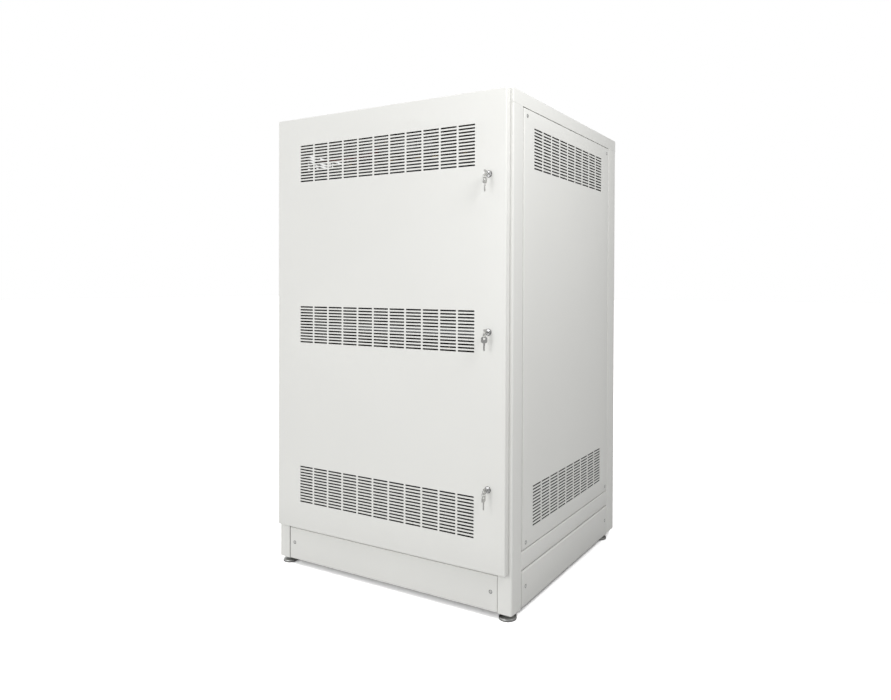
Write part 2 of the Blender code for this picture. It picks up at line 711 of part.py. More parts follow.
def add_door_gasket(door_pivot):
    """A foam strip on the skin that lands on the posts, the sill and the cover's front."""
    front = DOOR_SKIN_BACK + TOUCH
    back = FRONT - TOUCH
    outer = OPENING_HALF + GASKET_LAP
    inner = outer - GASKET_STRIP
    low, high = DOOR_BOTTOM + GASKET_RISE, COVER_BOTTOM + GASKET_COVER_LAP
    gasket = boxes("door_gasket", [((-outer, front, low), (outer, back, high))], FOAM, parent=door_pivot)
    opening_low = (-inner, front - CUT_REACH, low + GASKET_STRIP)
    opening_high = (inner, back + CUT_REACH, high - GASKET_STRIP)
    opening = boxes("gasket_opening", [(opening_low, opening_high)], parent=door_pivot)
    return combine(gasket, opening, "DIFFERENCE")


# ---------------------------------------------------------------- hinges
def add_hinge(number, height, door_pivot):
    """A lift-off hinge: the frame half carries the pin, the door half has the bored knuckle above it."""
    axis_x, axis_y = HINGE_AXIS.x, HINGE_AXIS.y
    rod = [
        (0.0, KNUCKLE_LENGTH - PIN_END),
        (HINGE_PIN_RADIUS, KNUCKLE_LENGTH - PIN_END - PIN_CHAMFER),
        (HINGE_PIN_RADIUS, 0.0),
        (KNUCKLE_RADIUS, 0.0),
        (KNUCKLE_RADIUS, -KNUCKLE_LENGTH),
        (0.0, -KNUCKLE_LENGTH),
    ]
    at = (axis_x, axis_y, height)
    frame_half = turned(f"hinge_frame_{number}", rod, Matrix(), ZINC, at, steps=16)
    arm_low = (axis_x - HINGE_ARM_HALF, axis_y + HINGE_WEB_REACH, height - KNUCKLE_LENGTH)
    arm_high = (axis_x + HINGE_ARM_HALF, FRONT - TOUCH, height - HINGE_PLAY)
    leaf_low = (axis_x - HINGE_LEAF_INSET, FRONT - TOUCH - HINGE_LEAF_SHEET, height - KNUCKLE_LENGTH)
    leaf_high = (axis_x - HINGE_ARM_HALF + HINGE_LEAF, FRONT - TOUCH, height - HINGE_PLAY)
    combine(frame_half, boxes(f"hinge_arm_{number}", [(arm_low, arm_high)]), "UNION")
    combine(frame_half, boxes(f"hinge_leaf_{number}", [(leaf_low, leaf_high)]), "UNION")
    bore = HINGE_PIN_RADIUS + SLEEVE_PLAY
    sleeve = [
        (bore, KNUCKLE_LENGTH),
        (KNUCKLE_RADIUS, KNUCKLE_LENGTH),
        (KNUCKLE_RADIUS, SLEEVE_LIFT),
        (bore, SLEEVE_LIFT),
        (bore, KNUCKLE_LENGTH),
    ]
    door_half = turned(f"hinge_door_{number}", sleeve, Matrix(), ZINC, at, door_pivot, 16)
    web_x, web_z = axis_x + HINGE_WEB_START, height + HINGE_WEB_LIFT
    skin = DOOR_SKIN_BACK + TOUCH
    plate_low = (web_x, skin, web_z)
    plate_high = (axis_x + HINGE_LEAF, skin + HINGE_LEAF_SHEET, height + KNUCKLE_LENGTH)
    web_low = (web_x, skin + HINGE_LEAF_SHEET / 2, web_z)
    web_high = (web_x + HINGE_WEB_SHEET, axis_y + HINGE_WEB_REACH, height + KNUCKLE_LENGTH)
    combine(door_half, boxes(f"hinge_plate_{number}", [(plate_low, plate_high)], parent=door_pivot), "UNION")
    combine(door_half, boxes(f"hinge_web_{number}", [(web_low, web_high)], parent=door_pivot), "UNION")


# ---------------------------------------------------------------- locks and keys
def key_outlines():
    """A flat key in its own plane: the hole's centre at the origin, the blade along -Y."""
    top = KEY_HOLE_INSET
    half = BOW_WIDTH / 2
    shoulder = top - BOW_LENGTH
    tip = top - KEY_LENGTH
    blade = BLADE_WIDTH / 2
    corner = BOW_CORNER
    outline = []
    outline += circle(half - corner, top - corner, corner, 3, 0.0, math.pi / 2)
    outline += circle(corner - half, top - corner, corner, 3, math.pi / 2, math.pi / 2)
    outline += circle(corner - half, shoulder + corner, corner, 2, math.pi, math.pi / 2)
    outline += [(-blade, shoulder), (-blade, tip + blade), (0.0, tip)]
    outline += [(blade, tip + blade), (blade, shoulder)]
    outline += circle(half - corner, shoulder + corner, corner, 2, -math.pi / 2, math.pi / 2)
    return [outline, circle(0.0, 0.0, KEY_HOLE_RADIUS, 12)]


def add_lock(word, height, door_pivot):
    """A cam lock: fixed barrel with its nut, a plug and cam that turn, the key, its ring and a spare key."""
    face = Vector((LOCK_X, FRONT, height))
    grip = DOOR_PROUD
    bore = PLUG_RADIUS + LOCK_FIT
    nut_front = grip - PANEL_SHEET - TOUCH
    barrel = [
        (bore, grip + LOCK_FACE_PROUD),
        (LOCK_FACE_RADIUS - BEZEL_CHAMFER, grip + LOCK_FACE_PROUD),
        (LOCK_FACE_RADIUS, grip + LOCK_FACE_PROUD - BEZEL_CHAMFER),
        (LOCK_FACE_RADIUS, grip + TOUCH),
        (LOCK_BARREL_RADIUS, grip + TOUCH),
        (LOCK_BARREL_RADIUS, nut_front),
        (LOCK_BARREL_RADIUS + LOCK_NUT_WALL, nut_front),
        (LOCK_BARREL_RADIUS + LOCK_NUT_WALL, nut_front - LOCK_NUT_LENGTH),
        (LOCK_BARREL_RADIUS, nut_front - LOCK_NUT_LENGTH),
        (LOCK_BARREL_RADIUS, -BARREL_TAIL),
        (bore, -BARREL_TAIL),
        (bore, grip + LOCK_FACE_PROUD),
    ]
    turned(f"lock_barrel_{word}", barrel, ALONG_MINUS_Y, CHROME, face, door_pivot, 20)
    lock_pivot = pivot(f"lock_pivot_{word}", face, door_pivot)
    plug_front = grip + LOCK_FACE_PROUD + TOUCH
    plug = turned(f"lock_plug_{word}", [
        (0.0, plug_front),
        (PLUG_RADIUS, plug_front),
        (PLUG_RADIUS, -PLUG_TAIL),
        (0.0, -PLUG_TAIL),
    ], ALONG_MINUS_Y, CHROME, face, lock_pivot, 20)
    square = SQUARE_SIDE / 2
    tail_box = ((-square, SQUARE_START, -square), (square, SQUARE_END, square))
    tail = boxes(f"lock_tail_{word}", [tail_box], None, face, lock_pivot)
    combine(plug, tail, "UNION")
    way = BLADE_WIDTH / 2 + TOUCH
    keyway_box = ((-KEYWAY_HALF, -plug_front - KEYWAY_REACH, -way), (KEYWAY_HALF, -KEYWAY_END, way))
    keyway = boxes(f"keyway_{word}", [keyway_box], None, face, lock_pivot)
    combine(plug, keyway, "DIFFERENCE")
    cam_low = (-CAM_WIDTH / 2, CAM_PLACE, -CAM_WIDTH / 2)
    cam_high = (CAM_WIDTH / 2, CAM_PLACE + CAM_SHEET, CAM_LENGTH)
    cam = boxes(f"lock_cam_{word}", [(cam_low, cam_high)], ZINC, face, lock_pivot)
    hole = square + LOCK_FIT
    hole_box = ((-hole, 0.0, -hole), (hole, CUT_REACH, hole))
    square_hole = boxes(f"cam_hole_{word}", [hole_box], None, face, lock_pivot)
    combine(cam, square_hole, "DIFFERENCE")
    add_keys(word, face, lock_pivot)


def add_keys(word, face, lock_pivot):
    """The key in the lock with its bow upright, the split ring through it and the spare key below."""
    hole_centre = face + Vector((0.0, -KEY_HOLE_REACH, 0.0))
    key_slide = pivot(f"key_slide_{word}", hole_centre, lock_pivot)
    flat_outline(f"key_{word}", key_outlines(), KEY_SHEET, KEY_IN_LOCK, ZINC, hole_centre, key_slide)
    ring_centre = hole_centre + Vector((0.0, 0.0, -WIRE_DROP - RING_RADIUS))
    ring_pivot = pivot(f"ring_pivot_{word}", ring_centre, key_slide)
    wire = circle(RING_RADIUS, 0.0, RING_WIRE, 6, math.pi / 2, -2 * math.pi)
    ring_turn = Matrix.Rotation(RING_TURN[word], 4, "Z") @ ALONG_MINUS_Y
    wire.append(wire[0])
    turned(f"key_ring_{word}", wire, ring_turn, ZINC, ring_centre, ring_pivot, 18)
    spare_axis = ring_centre + Vector((0.0, 0.0, -RING_RADIUS))
    spare_pivot = pivot(f"spare_pivot_{word}", spare_axis, ring_pivot)
    spare_hole = spare_axis + Vector((0.0, 0.0, -WIRE_DROP))
    spare_turn = Matrix.Rotation(SPARE_KEY_TURN[word], 4, "Z") @ KEY_HANGING
    flat_outline(f"spare_key_{word}", key_outlines(), KEY_SHEET, spare_turn, ZINC, spare_hole, spare_pivot)


# ---------------------------------------------------------------- levelling feet
def add_foot(name, side, is_front):
    """A steel disc foot with a lock nut and a stud that screws up through the post's foot plate."""
    x, y = foot_place(side, is_front)
    foot_pivot = pivot(f"{name}_slide", (x, y, 0.0))
    neck = BODY_BOTTOM - NUT_PLAY
    profile = [
        (0.0, STUD_LENGTH),
        (STUD_RADIUS - STUD_CHAMFER, STUD_LENGTH),
        (STUD_RADIUS, STUD_LENGTH - STUD_CHAMFER),
        (STUD_RADIUS, neck),
        (NUT_RADIUS, neck),
        (NUT_RADIUS, neck - NUT_HEIGHT),
        (FOOT_DOME_RADIUS, FOOT_DOME_HEIGHT),
        (FOOT_RADIUS - FOOT_SHOULDER_INSET, FOOT_SHOULDER_HEIGHT),
        (FOOT_RADIUS, FOOT_RIM_TOP),
        (FOOT_RADIUS, FOOT_CHAMFER),
        (FOOT_RADIUS - FOOT_CHAMFER, 0.0),
        (0.0, 0.0),
    ]
    turned(name, profile, Matrix(), ZINC, (x, y, 0.0), foot_pivot, 20)


# ---------------------------------------------------------------- inside
def battery_tier_mesh():
    """One tier of sealed blocks standing on a thin spacer mat, joined into one body."""
    row = BLOCKS_ACROSS * BLOCK_WIDTH + (BLOCKS_ACROSS - 1) * BLOCK_GAP
    depth = BLOCKS_DEEP * BLOCK_DEPTH + (BLOCKS_DEEP - 1) * BLOCK_ROW_GAP
    mat = boxes("tier_mat", [((-row / 2, 0.0, 0.0), (row / 2, depth, MAT_SHEET))])
    bodies = bmesh.new()
    lids = bmesh.new()
    top = MAT_SHEET + BLOCK_HEIGHT
    for across in range(BLOCKS_ACROSS):
        for deep in range(BLOCKS_DEEP):
            x = -row / 2 + across * (BLOCK_WIDTH + BLOCK_GAP)
            y = deep * (BLOCK_DEPTH + BLOCK_ROW_GAP)
            add_box(bodies, (x, y, MAT_SHEET / 2), (x + BLOCK_WIDTH, y + BLOCK_DEPTH, top - CASE_DROP))
            lid_low = (x + LID_INSET, y + LID_INSET, top - LID_DEPTH)
            lid_high = (x + BLOCK_WIDTH - LID_INSET, y + BLOCK_DEPTH - LID_INSET, top)
            add_box(lids, lid_low, lid_high)
            for terminal_x in (x + TERMINAL_INSET, x + BLOCK_WIDTH - TERMINAL_INSET):
                half = Vector((TERMINAL_RADIUS, TERMINAL_RADIUS, 0.0))
                middle = Vector((terminal_x, y + TERMINAL_INSET, top))
                low = middle - half - Vector((0.0, 0.0, TERMINAL_SINK))
                high = middle + half + Vector((0.0, 0.0, TERMINAL_HEIGHT))
                add_box(bodies, low, high)
    combine(mat, object_of("tier_bodies", mesh_of("tier_bodies", bodies)), "UNION")
    combine(mat, object_of("tier_lids", mesh_of("tier_lids", lids)), "UNION")
    bpy.context.view_layer.update()
    graph = bpy.context.evaluated_depsgraph_get()
    mesh = bpy.data.meshes.new_from_object(mat.evaluated_get(graph))
    bpy.data.objects.remove(mat, do_unlink=True)
    mesh.materials.clear()
    mesh.materials.append(BATTERY)
    return mesh


def add_tiers():
    for number, height in enumerate(SHELF_HEIGHTS, 1):
        low = (-SHELF_HALF, FRONT + SHELF_FRONT, height - SHELF_LIP)
        high = (SHELF_HALF, FRONT + SHELF_FRONT + SHELF_DEPTH, height)
        pan(f"shelf_{number}", low, high, (0, 0, -1), SHELF_RADIUS, FRAME_SHEET, ZINC, segments=1)
    mesh = battery_tier_mesh()
    for number, height in enumerate((TRAY_TOP, *SHELF_HEIGHTS), 1):
        obj = bpy.data.objects.new(f"battery_tier_{number}", mesh)
        PARTS.objects.link(obj)
        place(obj, (0.0, FRONT + BLOCK_FRONT, height + TOUCH))


def add_switchgear():
    """The bracket under the cover, the breaker with its toggle, and the output terminal block."""
    plate_y = FRONT + BRACKET_PLACE
    under_cover = TOP - FRAME_SHEET - TOUCH
    plate_low = (-BRACKET_HALF, plate_y, BRACKET_BOTTOM)
    plate_high = (BRACKET_HALF, plate_y + FRAME_SHEET, under_cover)
    bracket = boxes("breaker_bracket", [(plate_low, plate_high)], ZINC)
    flange_low = (-BRACKET_HALF, plate_y + FRAME_SHEET / 2, under_cover - FRAME_SHEET)
    flange_high = (BRACKET_HALF, plate_y + BRACKET_FLANGE, under_cover)
    combine(bracket, boxes("bracket_flange", [(flange_low, flange_high)]), "UNION")
    wide, deep, tall = BREAKER_SIZE
    back = plate_y - TOUCH
    low = (BREAKER_X - wide / 2, back - deep, BREAKER_MIDDLE - tall / 2)
    high = (BREAKER_X + wide / 2, back, BREAKER_MIDDLE + tall / 2)
    breaker = bevelled(boxes("breaker_body", [(low, high)], BREAKER_PLASTIC), BREAKER_BEVEL, 1)
    toggle_at = Vector((BREAKER_X, back - deep + TOGGLE_DEPTH, BREAKER_MIDDLE))
    slot_low = toggle_at + Vector((-TOGGLE_SLOT[0], -TOGGLE_SLOT_REACH, -TOGGLE_SLOT[2]))
    slot_high = toggle_at + Vector(TOGGLE_SLOT)
    combine(breaker, boxes("toggle_slot", [(slot_low, slot_high)]), "DIFFERENCE")
    toggle_pivot = pivot("toggle_pivot", toggle_at)
    rotor = [(0.0, ROTOR_HALF), (ROTOR_RADIUS, ROTOR_HALF), (ROTOR_RADIUS, -ROTOR_HALF), (0.0, -ROTOR_HALF)]
    toggle = turned("breaker_toggle", rotor, ALONG_X, TOGGLE_PLASTIC, toggle_at, toggle_pivot, 16)
    lever_low = (-LEVER_HALF, -LEVER_REACH, -LEVER_SHEET_HALF)
    lever_high = (LEVER_HALF, -LEVER_ROOT, LEVER_SHEET_HALF)
    lever = boxes("toggle_lever", [(lever_low, lever_high)], None, toggle_at, toggle_pivot)
    lever.rotation_euler = (TOGGLE_TILT, 0.0, 0.0)
    combine(toggle, lever, "UNION")
    wide, deep, tall = TERMINAL_BLOCK_SIZE
    low = (TERMINAL_BLOCK_X - wide / 2, back - deep, BREAKER_MIDDLE - tall / 2)
    high = (TERMINAL_BLOCK_X + wide / 2, back, BREAKER_MIDDLE + tall / 2)
    block = bevelled(boxes("output_terminals", [(low, high)], BREAKER_PLASTIC), TERMINAL_BLOCK_BEVEL, 1)
    profile = [
        (0.0, OUTPUT_STUD_LENGTH),
        (OUTPUT_STUD_RADIUS, OUTPUT_STUD_LENGTH),
        (OUTPUT_STUD_RADIUS, -OUTPUT_STUD_RADIUS),
        (0.0, -OUTPUT_STUD_RADIUS),
    ]
    for index, x in enumerate(OUTPUT_STUDS):
        at = (TERMINAL_BLOCK_X + x, low[1], BREAKER_MIDDLE)
        combine(block, turned(f"output_stud_{index}", profile, ALONG_MINUS_Y, None, at, steps=10), "UNION")


def smooth_route(places, steps):
    """Points of a smooth curve through the places, a Catmull-Rom spline with doubled ends."""
    spots = [Vector(place) for place in places]
    spots = [2 * spots[0] - spots[1], *spots, 2 * spots[-1] - spots[-2]]
    route = []
    for a, b, c, d in zip(spots, spots[1:], spots[2:], spots[3:]):
        for step in range(steps):
            t = step / steps
            route.append(0.5 * (2 * b + (c - a) * t + (2 * a - 5 * b + 4 * c - d) * t * t
                                + (3 * b - a - 3 * c + d) * t ** 3))
    route.append(spots[-2])
    return route


def add_cable(name, places, material):
    curve = bpy.data.curves.new(name, "CURVE")
    curve.dimensions = "3D"
    curve.bevel_depth = CABLE_RADIUS
    curve.bevel_resolution = 2
    curve.use_fill_caps = True
    route = smooth_route(places, 4)
    spline = curve.splines.new("POLY")
    spline.points.add(len(route) - 1)
    for point, spot in zip(spline.points, route):
        point.co = (*spot, 1.0)
    object_of(name, curve, material)


def add_cables():
    """The string's two ends, from the outer front terminals of the top tier to the switchgear."""
    row = BLOCKS_ACROSS * BLOCK_WIDTH + (BLOCKS_ACROSS - 1) * BLOCK_GAP
    start_x = row / 2 - TERMINAL_INSET
    start_y = FRONT + BLOCK_FRONT + TERMINAL_INSET
    start_z = SHELF_HEIGHTS[-1] + 2 * TOUCH + MAT_SHEET + BLOCK_HEIGHT + TERMINAL_HEIGHT
    back = FRONT + BRACKET_PLACE - TOUCH
    ends = {
        "cable_positive": (-1, BREAKER_X - CABLE_BREAKER_SHIFT, BREAKER_SIZE[2], RED_CABLE),
        "cable_negative": (1, TERMINAL_BLOCK_X, TERMINAL_BLOCK_SIZE[2], BLACK_CABLE),
    }
    end_y = back - CABLE_INSET
    for name, (side, end_x, end_height, material) in ends.items():
        end_z = BREAKER_MIDDLE - end_height / 2
        places = [
            (side * start_x, start_y, start_z + TOUCH),
            (side * start_x, start_y, start_z + 0.006),
            (side * start_x, start_y, start_z + 0.014),
            (side * (start_x - 0.030), start_y - 0.008, start_z + 0.024),
            (side * (start_x - 0.110), start_y - 0.030, start_z + 0.016),
            ((side * start_x + end_x) / 2, start_y - 0.050, start_z + 0.013),
            (end_x + side * 0.030, end_y - 0.004, start_z + 0.013),
            (end_x, end_y, start_z + 0.020),
            (end_x, end_y, end_z - 0.006),
            (end_x, end_y, end_z - TOUCH),
        ]
        add_cable(name, places, material)


# ---------------------------------------------------------------- the whole cabinet
def build():
    add_frame()
    add_panels()
    door_pivot = pivot("door_pivot", HINGE_AXIS)
    add_door(door_pivot)
    for number, height in enumerate(HINGE_HEIGHTS, 1):
        add_hinge(number, height, door_pivot)
    for word, height in LOCK_HEIGHTS.items():
        add_lock(word, height, door_pivot)
    for side, word in ((-1, "left"), (1, "right")):
        add_foot(f"foot_front_{word}", side, True)
        add_foot(f"foot_rear_{word}", side, False)
    add_tiers()
    add_switchgear()
    add_cables()


build()
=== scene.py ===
"""Looks of the vented battery cabinet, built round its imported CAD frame.

Metres, +Z up. The door faces -Y. Every piece is made in the frame's own coordinates and rides on a body.
"""

import json
import math

import bmesh
import bpy
from mathutils import Matrix, Vector


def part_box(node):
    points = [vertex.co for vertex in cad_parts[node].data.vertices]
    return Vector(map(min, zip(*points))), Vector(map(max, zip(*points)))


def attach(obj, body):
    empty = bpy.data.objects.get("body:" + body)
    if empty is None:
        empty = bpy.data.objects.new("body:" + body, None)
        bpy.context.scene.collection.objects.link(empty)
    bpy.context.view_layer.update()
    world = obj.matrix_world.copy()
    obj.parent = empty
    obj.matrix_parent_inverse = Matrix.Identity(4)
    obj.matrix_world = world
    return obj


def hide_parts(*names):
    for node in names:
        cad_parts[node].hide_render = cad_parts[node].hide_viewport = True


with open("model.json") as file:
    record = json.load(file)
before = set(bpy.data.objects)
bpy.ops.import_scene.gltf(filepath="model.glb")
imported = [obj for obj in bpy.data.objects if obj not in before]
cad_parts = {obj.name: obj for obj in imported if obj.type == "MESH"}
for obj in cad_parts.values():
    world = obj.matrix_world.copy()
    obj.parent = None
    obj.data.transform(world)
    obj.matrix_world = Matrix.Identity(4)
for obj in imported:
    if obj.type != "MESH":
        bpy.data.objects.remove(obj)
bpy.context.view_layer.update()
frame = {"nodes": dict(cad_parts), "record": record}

# ------ sheet metal, metres
SHEET = 0.0015
FRAME_SHEET = 0.002
FINE_EDGE = 0.0004
SLOT_PITCH = (0.0618, 0.0096)
SLOT_SIZE = (0.0556, 0.0048)
SLOT_CORNER = 0.0012
SLOT_ROWS = 13
DOOR_COLUMNS = 11
SIDE_COLUMNS = 9
DOOR_VENT_SPACING = 0.530
SIDE_VENT_MIDDLE = 0.403
SIDE_VENT_HEIGHTS = (0.297, 1.350)

LOCK_WORDS = ("top", "middle", "bottom")
SIDES = (("left", -1), ("right", 1))
ENDS = ("front", "rear")

DOOR_CLOSER = 0.0017
WIDE_PAN_RADIUS = 0.004
LOCK_HOLE_RADIUS = 0.0084
LOCK_HOLE_ROOM = 0.014
ROUND_HOLE_STEPS = 12
HINGES = (1, 2, 3)
HINGE_SIDE_TRIM = 0.012
NOTCH_DROP = 0.0004
NOTCH_ROOM = 0.004
SIDE_FACING = 0.95
PAN_RADIUS = 0.003
ROLL_STEPS = 5
RAIL_ROLL_STEPS = 4
PANEL_PROUD = 0.0014
END_EASE = 0.0014
LOWER_EASE = 0.0008
UPPER_EASE = 0.0012
PAN_SINK = 0.0005
SEAT_PLACE = 0.0120
SEAT_LAP = 0.015

POST_SEAT = 0.034
POST_RECESS = 0.010
JOGGLE_DEPTH = 0.0022
JOGGLE_WIDTH = 0.0030
# bend radii: the cabinet's corner and the four of the joggle, then the rear return
POST_BENDS = (0.006, 0.0008, 0.0005, 0.0005, 0.0008)
REAR_BEND = 0.0012
BEND_STEPS = 6
PLATE_ROOM = 0.0002
PLATE_LIFT = 0.0005
PLATE_END_ROOM = 0.001
STUD_HOLE = 0.0063
DRILL_REACH = 0.02

SCREW_RADIUS = 0.0055
SCREW_HEAD_RADIUS = 0.0040
SCREW_HEIGHT = 0.0006
SCREW_INSET = 0.022
PANEL_SCREW_RISE = 0.0195
PLINTH_SCREW_HEIGHT = 0.076
REAR_SCREW_INSET = 0.018
REAR_SCREW_RISE = 0.040
REAR_SCREW_ROWS = 5
RECESS_REACH = 0.55
RECESS_HALF = 0.12
RECESS_FLOOR = 0.35
SCREW_STEPS = 36
SCREW_TURNS = Vector((7.0, 11.0, 13.0))
SCREW_TURN_MOST = 1.5
# (part of the head's or the washer's radius, part of the height)
HEAD_PROFILE = ((0.0, 1.0), (0.80, 0.94), (0.95, 0.70), (1.0, 0.30), (1.0, 0.0), (0.0, 0.0))
CUP_BORE = 1.02
CUP_LIP = 0.25
CUP_PROFILE = ((0.96, 0.40), (1.0, 0.20), (1.0, 0.0))

# ------ levelling feet, metres
# (distance in from the foot's edge, height), and (part of the foot's radius, height)
PAD_PROFILE = ((0.0012, 0.0), (0.0005, 0.0005), (0.0005, 0.0018))
DISC_PROFILE = ((0.0006, 0.0019), (0.0, 0.0025), (0.0, 0.0062), (0.0008, 0.0074), (0.0025, 0.0082))
HUB_PROFILE = ((0.62, 0.0104), (0.42, 0.0112))
FOOT_STEPS = 64
STUD_RADIUS = 0.006
STUD_PITCH = 0.00175
STUD_THREAD = 0.0007
STUD_START = 0.0115
STUD_PLAIN = 0.0125
STUD_CREST = (0.35, 0.55)
STUD_TIP = (0.0012, 0.0002)
# (radius, bottom, top)
FOOT_NUT = (0.0105, 0.0114, 0.0188)
NUT_BITE = 0.98
NUT_EDGE = 0.05

# ------ locks and keys, metres
LOCK_BORE = 0.0060
BARREL_RADIUS = 0.0082
BEZEL_RADIUS = 0.0095
BORE_PROFILE = ((0.0, 0.0006), (0.0005, 0.0))
BEZEL_PROFILE = ((0.0018, 0.0), (0.0012, 0.0004))
RIM_WIDTH = 0.0010
RIM_PROFILE = ((0.0010, 0.0003), (0.0003, 0.0006), (0.0, 0.0012))
DOOR_TOUCH = 0.0002
BARREL_PITCH = 0.001
BARREL_THREAD = 0.0005
BARREL_TAIL = 0.0020
BARREL_TIP = 0.0006
THREAD_START = 0.0045
THREAD_END = 0.0015
LOCK_NUT_RADIUS = 0.0117
# distances of the nut's two faces behind the door's sheet
LOCK_NUT_SPAN = (0.0043, 0.0003)
LOCK_NUT_ROOM = 0.0001
PLUG_PROUD = 0.0002
# (radius, distance below the plug's front), and (radius, height along the lock)
PLUG_FRONT = ((0.0050, 0.0), (0.0056, 0.0004), (0.0057, 0.0012))
PLUG_BACK = [(0.0057, -0.0030), (0.0048, -0.0030), (0.0048, -0.0097)]
# rounded boxes: (low corner, high corner, edge radius, steps)
KEYWAY = ((-0.0013, -0.00305, 0.0008), (0.0013, 0.00305, 0.04), 0.0002, 1)
CAM_BORE = 0.0050
CAM_STEPS = 12
PLATE_EDGE = 0.0003

KEY_LENGTH = 0.040
KEY_SHEET = 0.002
BOW_SIZE = 0.018
BOW_CORNER = 0.005
BOW_STEPS = (6, 5)
BLADE_HALF = 0.00275
KEY_HOLE_RADIUS = 0.0035
KEY_HOLE_INSET = 0.0055
KEY_CUTS = (0.0010, 0.0018, 0.0013, 0.0020, 0.0008)
CUT_PITCH = 0.0030
CUT_START = 0.0035
CUT_SLOPE = 0.8
CUT_FLOOR = 0.25
# parts of the blade's half width: (across, along) for each corner of the tip
TIP_CORNERS = ((-1.0, 1.0), (-0.3, 0.0), (0.4, 0.0), (1.0, 0.8))
GROOVE_SIDES = (-0.0011, 0.0002)
GROOVE_END = 0.001
GROOVE_LIFT = 0.0003
GROOVE_HALF = 0.0006
GROOVE_EDGE = 0.00015
SPARE_TURN = {"top": math.radians(-8), "middle": math.radians(-53), "bottom": math.radians(-6)}
RING_TURN = {"top": 0.0, "middle": math.radians(-26), "bottom": 0.0}
RING_RADIUS = 0.006
RING_WIRE = 0.00045
RING_TURNS = 1.85
RING_STEPS = 72
RING_PITCH = 2.1
RING_SMOOTH = 60
KEY_DROP = 0.0085

# ------ battery blocks, metres
BLOCK = Vector((0.166, 0.330, 0.210))
BLOCKS_ACROSS = 5
BLOCKS_DEEP = 2
TIERS = (1, 2, 3, 4)
TERMINAL_INSET = 0.030
MAT_SHEET = 0.0015
BLOCK_EDGE = 0.004
LID_HEIGHT = 0.026
LID_EDGE = 0.003
LID_RISE = 0.0015
LID_SINK = 0.005
SEAM_INSET = 0.0012
SEAM_HALF = 0.002
SEAM_EDGE = 0.0008
RIBS = 5
# (half width, thickness, distance from the case's ends)
RIB_SIZE = (0.005, 0.002, 0.018)
RIB_SINK = (0.0008, 0.0012)
RIB_EDGE = 0.0007
LEDGE_DEPTH = 0.007
LEDGE_EDGE = 0.002
# (inset from both sides, front, back)
LEDGES = ((0.010, 0.052, 0.320), (0.050, 0.010, 0.060))
VENTS = 6
VENT_START = 0.085
VENT_PITCH = 0.040
VENT_CAP = ((0.0085, 0.0022), (0.0095, 0.0012), (0.0095, -0.001))
VENT_SLOT = ((-0.006, -0.0008, 0.0), (0.006, 0.0008, 0.0028), 0.0002, 1)
COLLAR = ((0.0100, 0.005), (0.0112, 0.004), (0.0118, 0.0))
PILLAR = ((0.0062, 0.0098), (0.0068, 0.0092), (0.0070, 0.0))
POST_SINK = 0.006
LINK_RISE = 0.004
# (reach past the terminals, half width, bottom, top, edge)
LINK_BAR = (0.009, 0.008, 0.0, 0.0025, 0.0008)
LINK_SLEEVE = (-0.012, 0.0095, -0.001, 0.0037, 0.0012)
WASHER = ((0.0062, 0.0010), (0.0065, 0.0))
# (radius, bottom, top, edge)
BOLT_HEAD = (0.0050, 0.0010, 0.0048, 0.0003)

# ------ switchgear, metres
# how far the raised front is in from the sides, ahead of the body and in from the ends
BREAKER_STEP = (0.006, 0.008, 0.015)
BREAKER_EDGE = 0.003
BREAKER_FRONT_EDGE = 0.002
BREAKER_FRONT_DEPTH = 0.01
TOGGLE_ROOM = ((-0.0125, -0.03, -0.0100), (0.0125, 0.0100, 0.0100), 0.0005)
POLE_PITCH = 0.028
RIVET_RISE = 0.0075
RIVET = ((0.0, 0.0012), (0.0035, 0.0010), (0.0042, 0.0), (0.0, 0.0))
ROTOR = ((0.0076, 0.0115), (0.0080, 0.0111), (0.0080, -0.0111), (0.0076, -0.0115))
LEVER = ((-0.009, -0.022, -0.0026), (0.009, -0.004, 0.0026), 0.0012)
LEVER_TILT = math.radians(25)
TERMINAL_DEPTH = 0.010
TERMINAL_EDGE = 0.002
# (half width, front, inset of the ends, how far it reaches behind the block's front)
BARRIER = (0.0015, 0.003, 0.002, 0.004)
BARRIER_EDGE = 0.0006
OUTPUT_PLACES = (-0.015, 0.015)
OUTPUT_STUD = ((0.0036, 0.010), (0.0040, 0.0096), (0.0040, 0.0))
# (radius, bottom, top, bore)
OUTPUT_NUT = (0.0070, 0.0014, 0.0052, 0.0039)
OUTPUT_WASHER = ((0.0039, 0.0014), (0.0075, 0.0014), (0.0075, 0.0002), (0.0039, 0.0002), (0.0039, 0.0014))
BOOT = ((0.0052, 0.016), (0.0064, 0.016), (0.0075, 0.010), (0.0105, 0.005), (0.0110, 0.0003),
        (0.0052, 0.0003), (0.0052, 0.016))

# ------ studio, metres, watts and degrees
FLOOR_HALF = 40.0
FLOOR_GLOW = 0.04
FLOOR_WHITENESS = 2.2
FLOOR_BOUNCE = 0.55
SURROUND_LEFT = 0.98
SURROUND_RIGHT = 0.34
SURROUND_TURN = (-0.25, 0.35)
WHITE = (1.0, 1.0, 1.0, 1.0)
# (name, place, target, width, power)
LIGHTS = (
    ("front_softbox", (-0.7, -3.6, 1.5), (0.0, -0.4, 0.9), 1.6, 34.5),
    ("right_softbox", (1.8, -0.8, 2.2), (0.45, -0.1, 0.9), 0.8, 24.0),
)
CAMERA_PLACE = (1.3556, -2.0949, 0.9482)
CAMERA_TURN = (89.483, -0.235, 29.265)
CAMERA_LENS = 28.007
CAMERA_SENSOR = 36.0
CAMERA_SHIFT = (-0.0580, -0.0656)

# ------ mesh work
SMOOTH_ANGLE = 35
NEAR = 1e-6
CUT_NEAR = 1e-7
FLAT = 0.999
FULL_TURN = 2 * math.pi
QUARTER = math.pi / 2
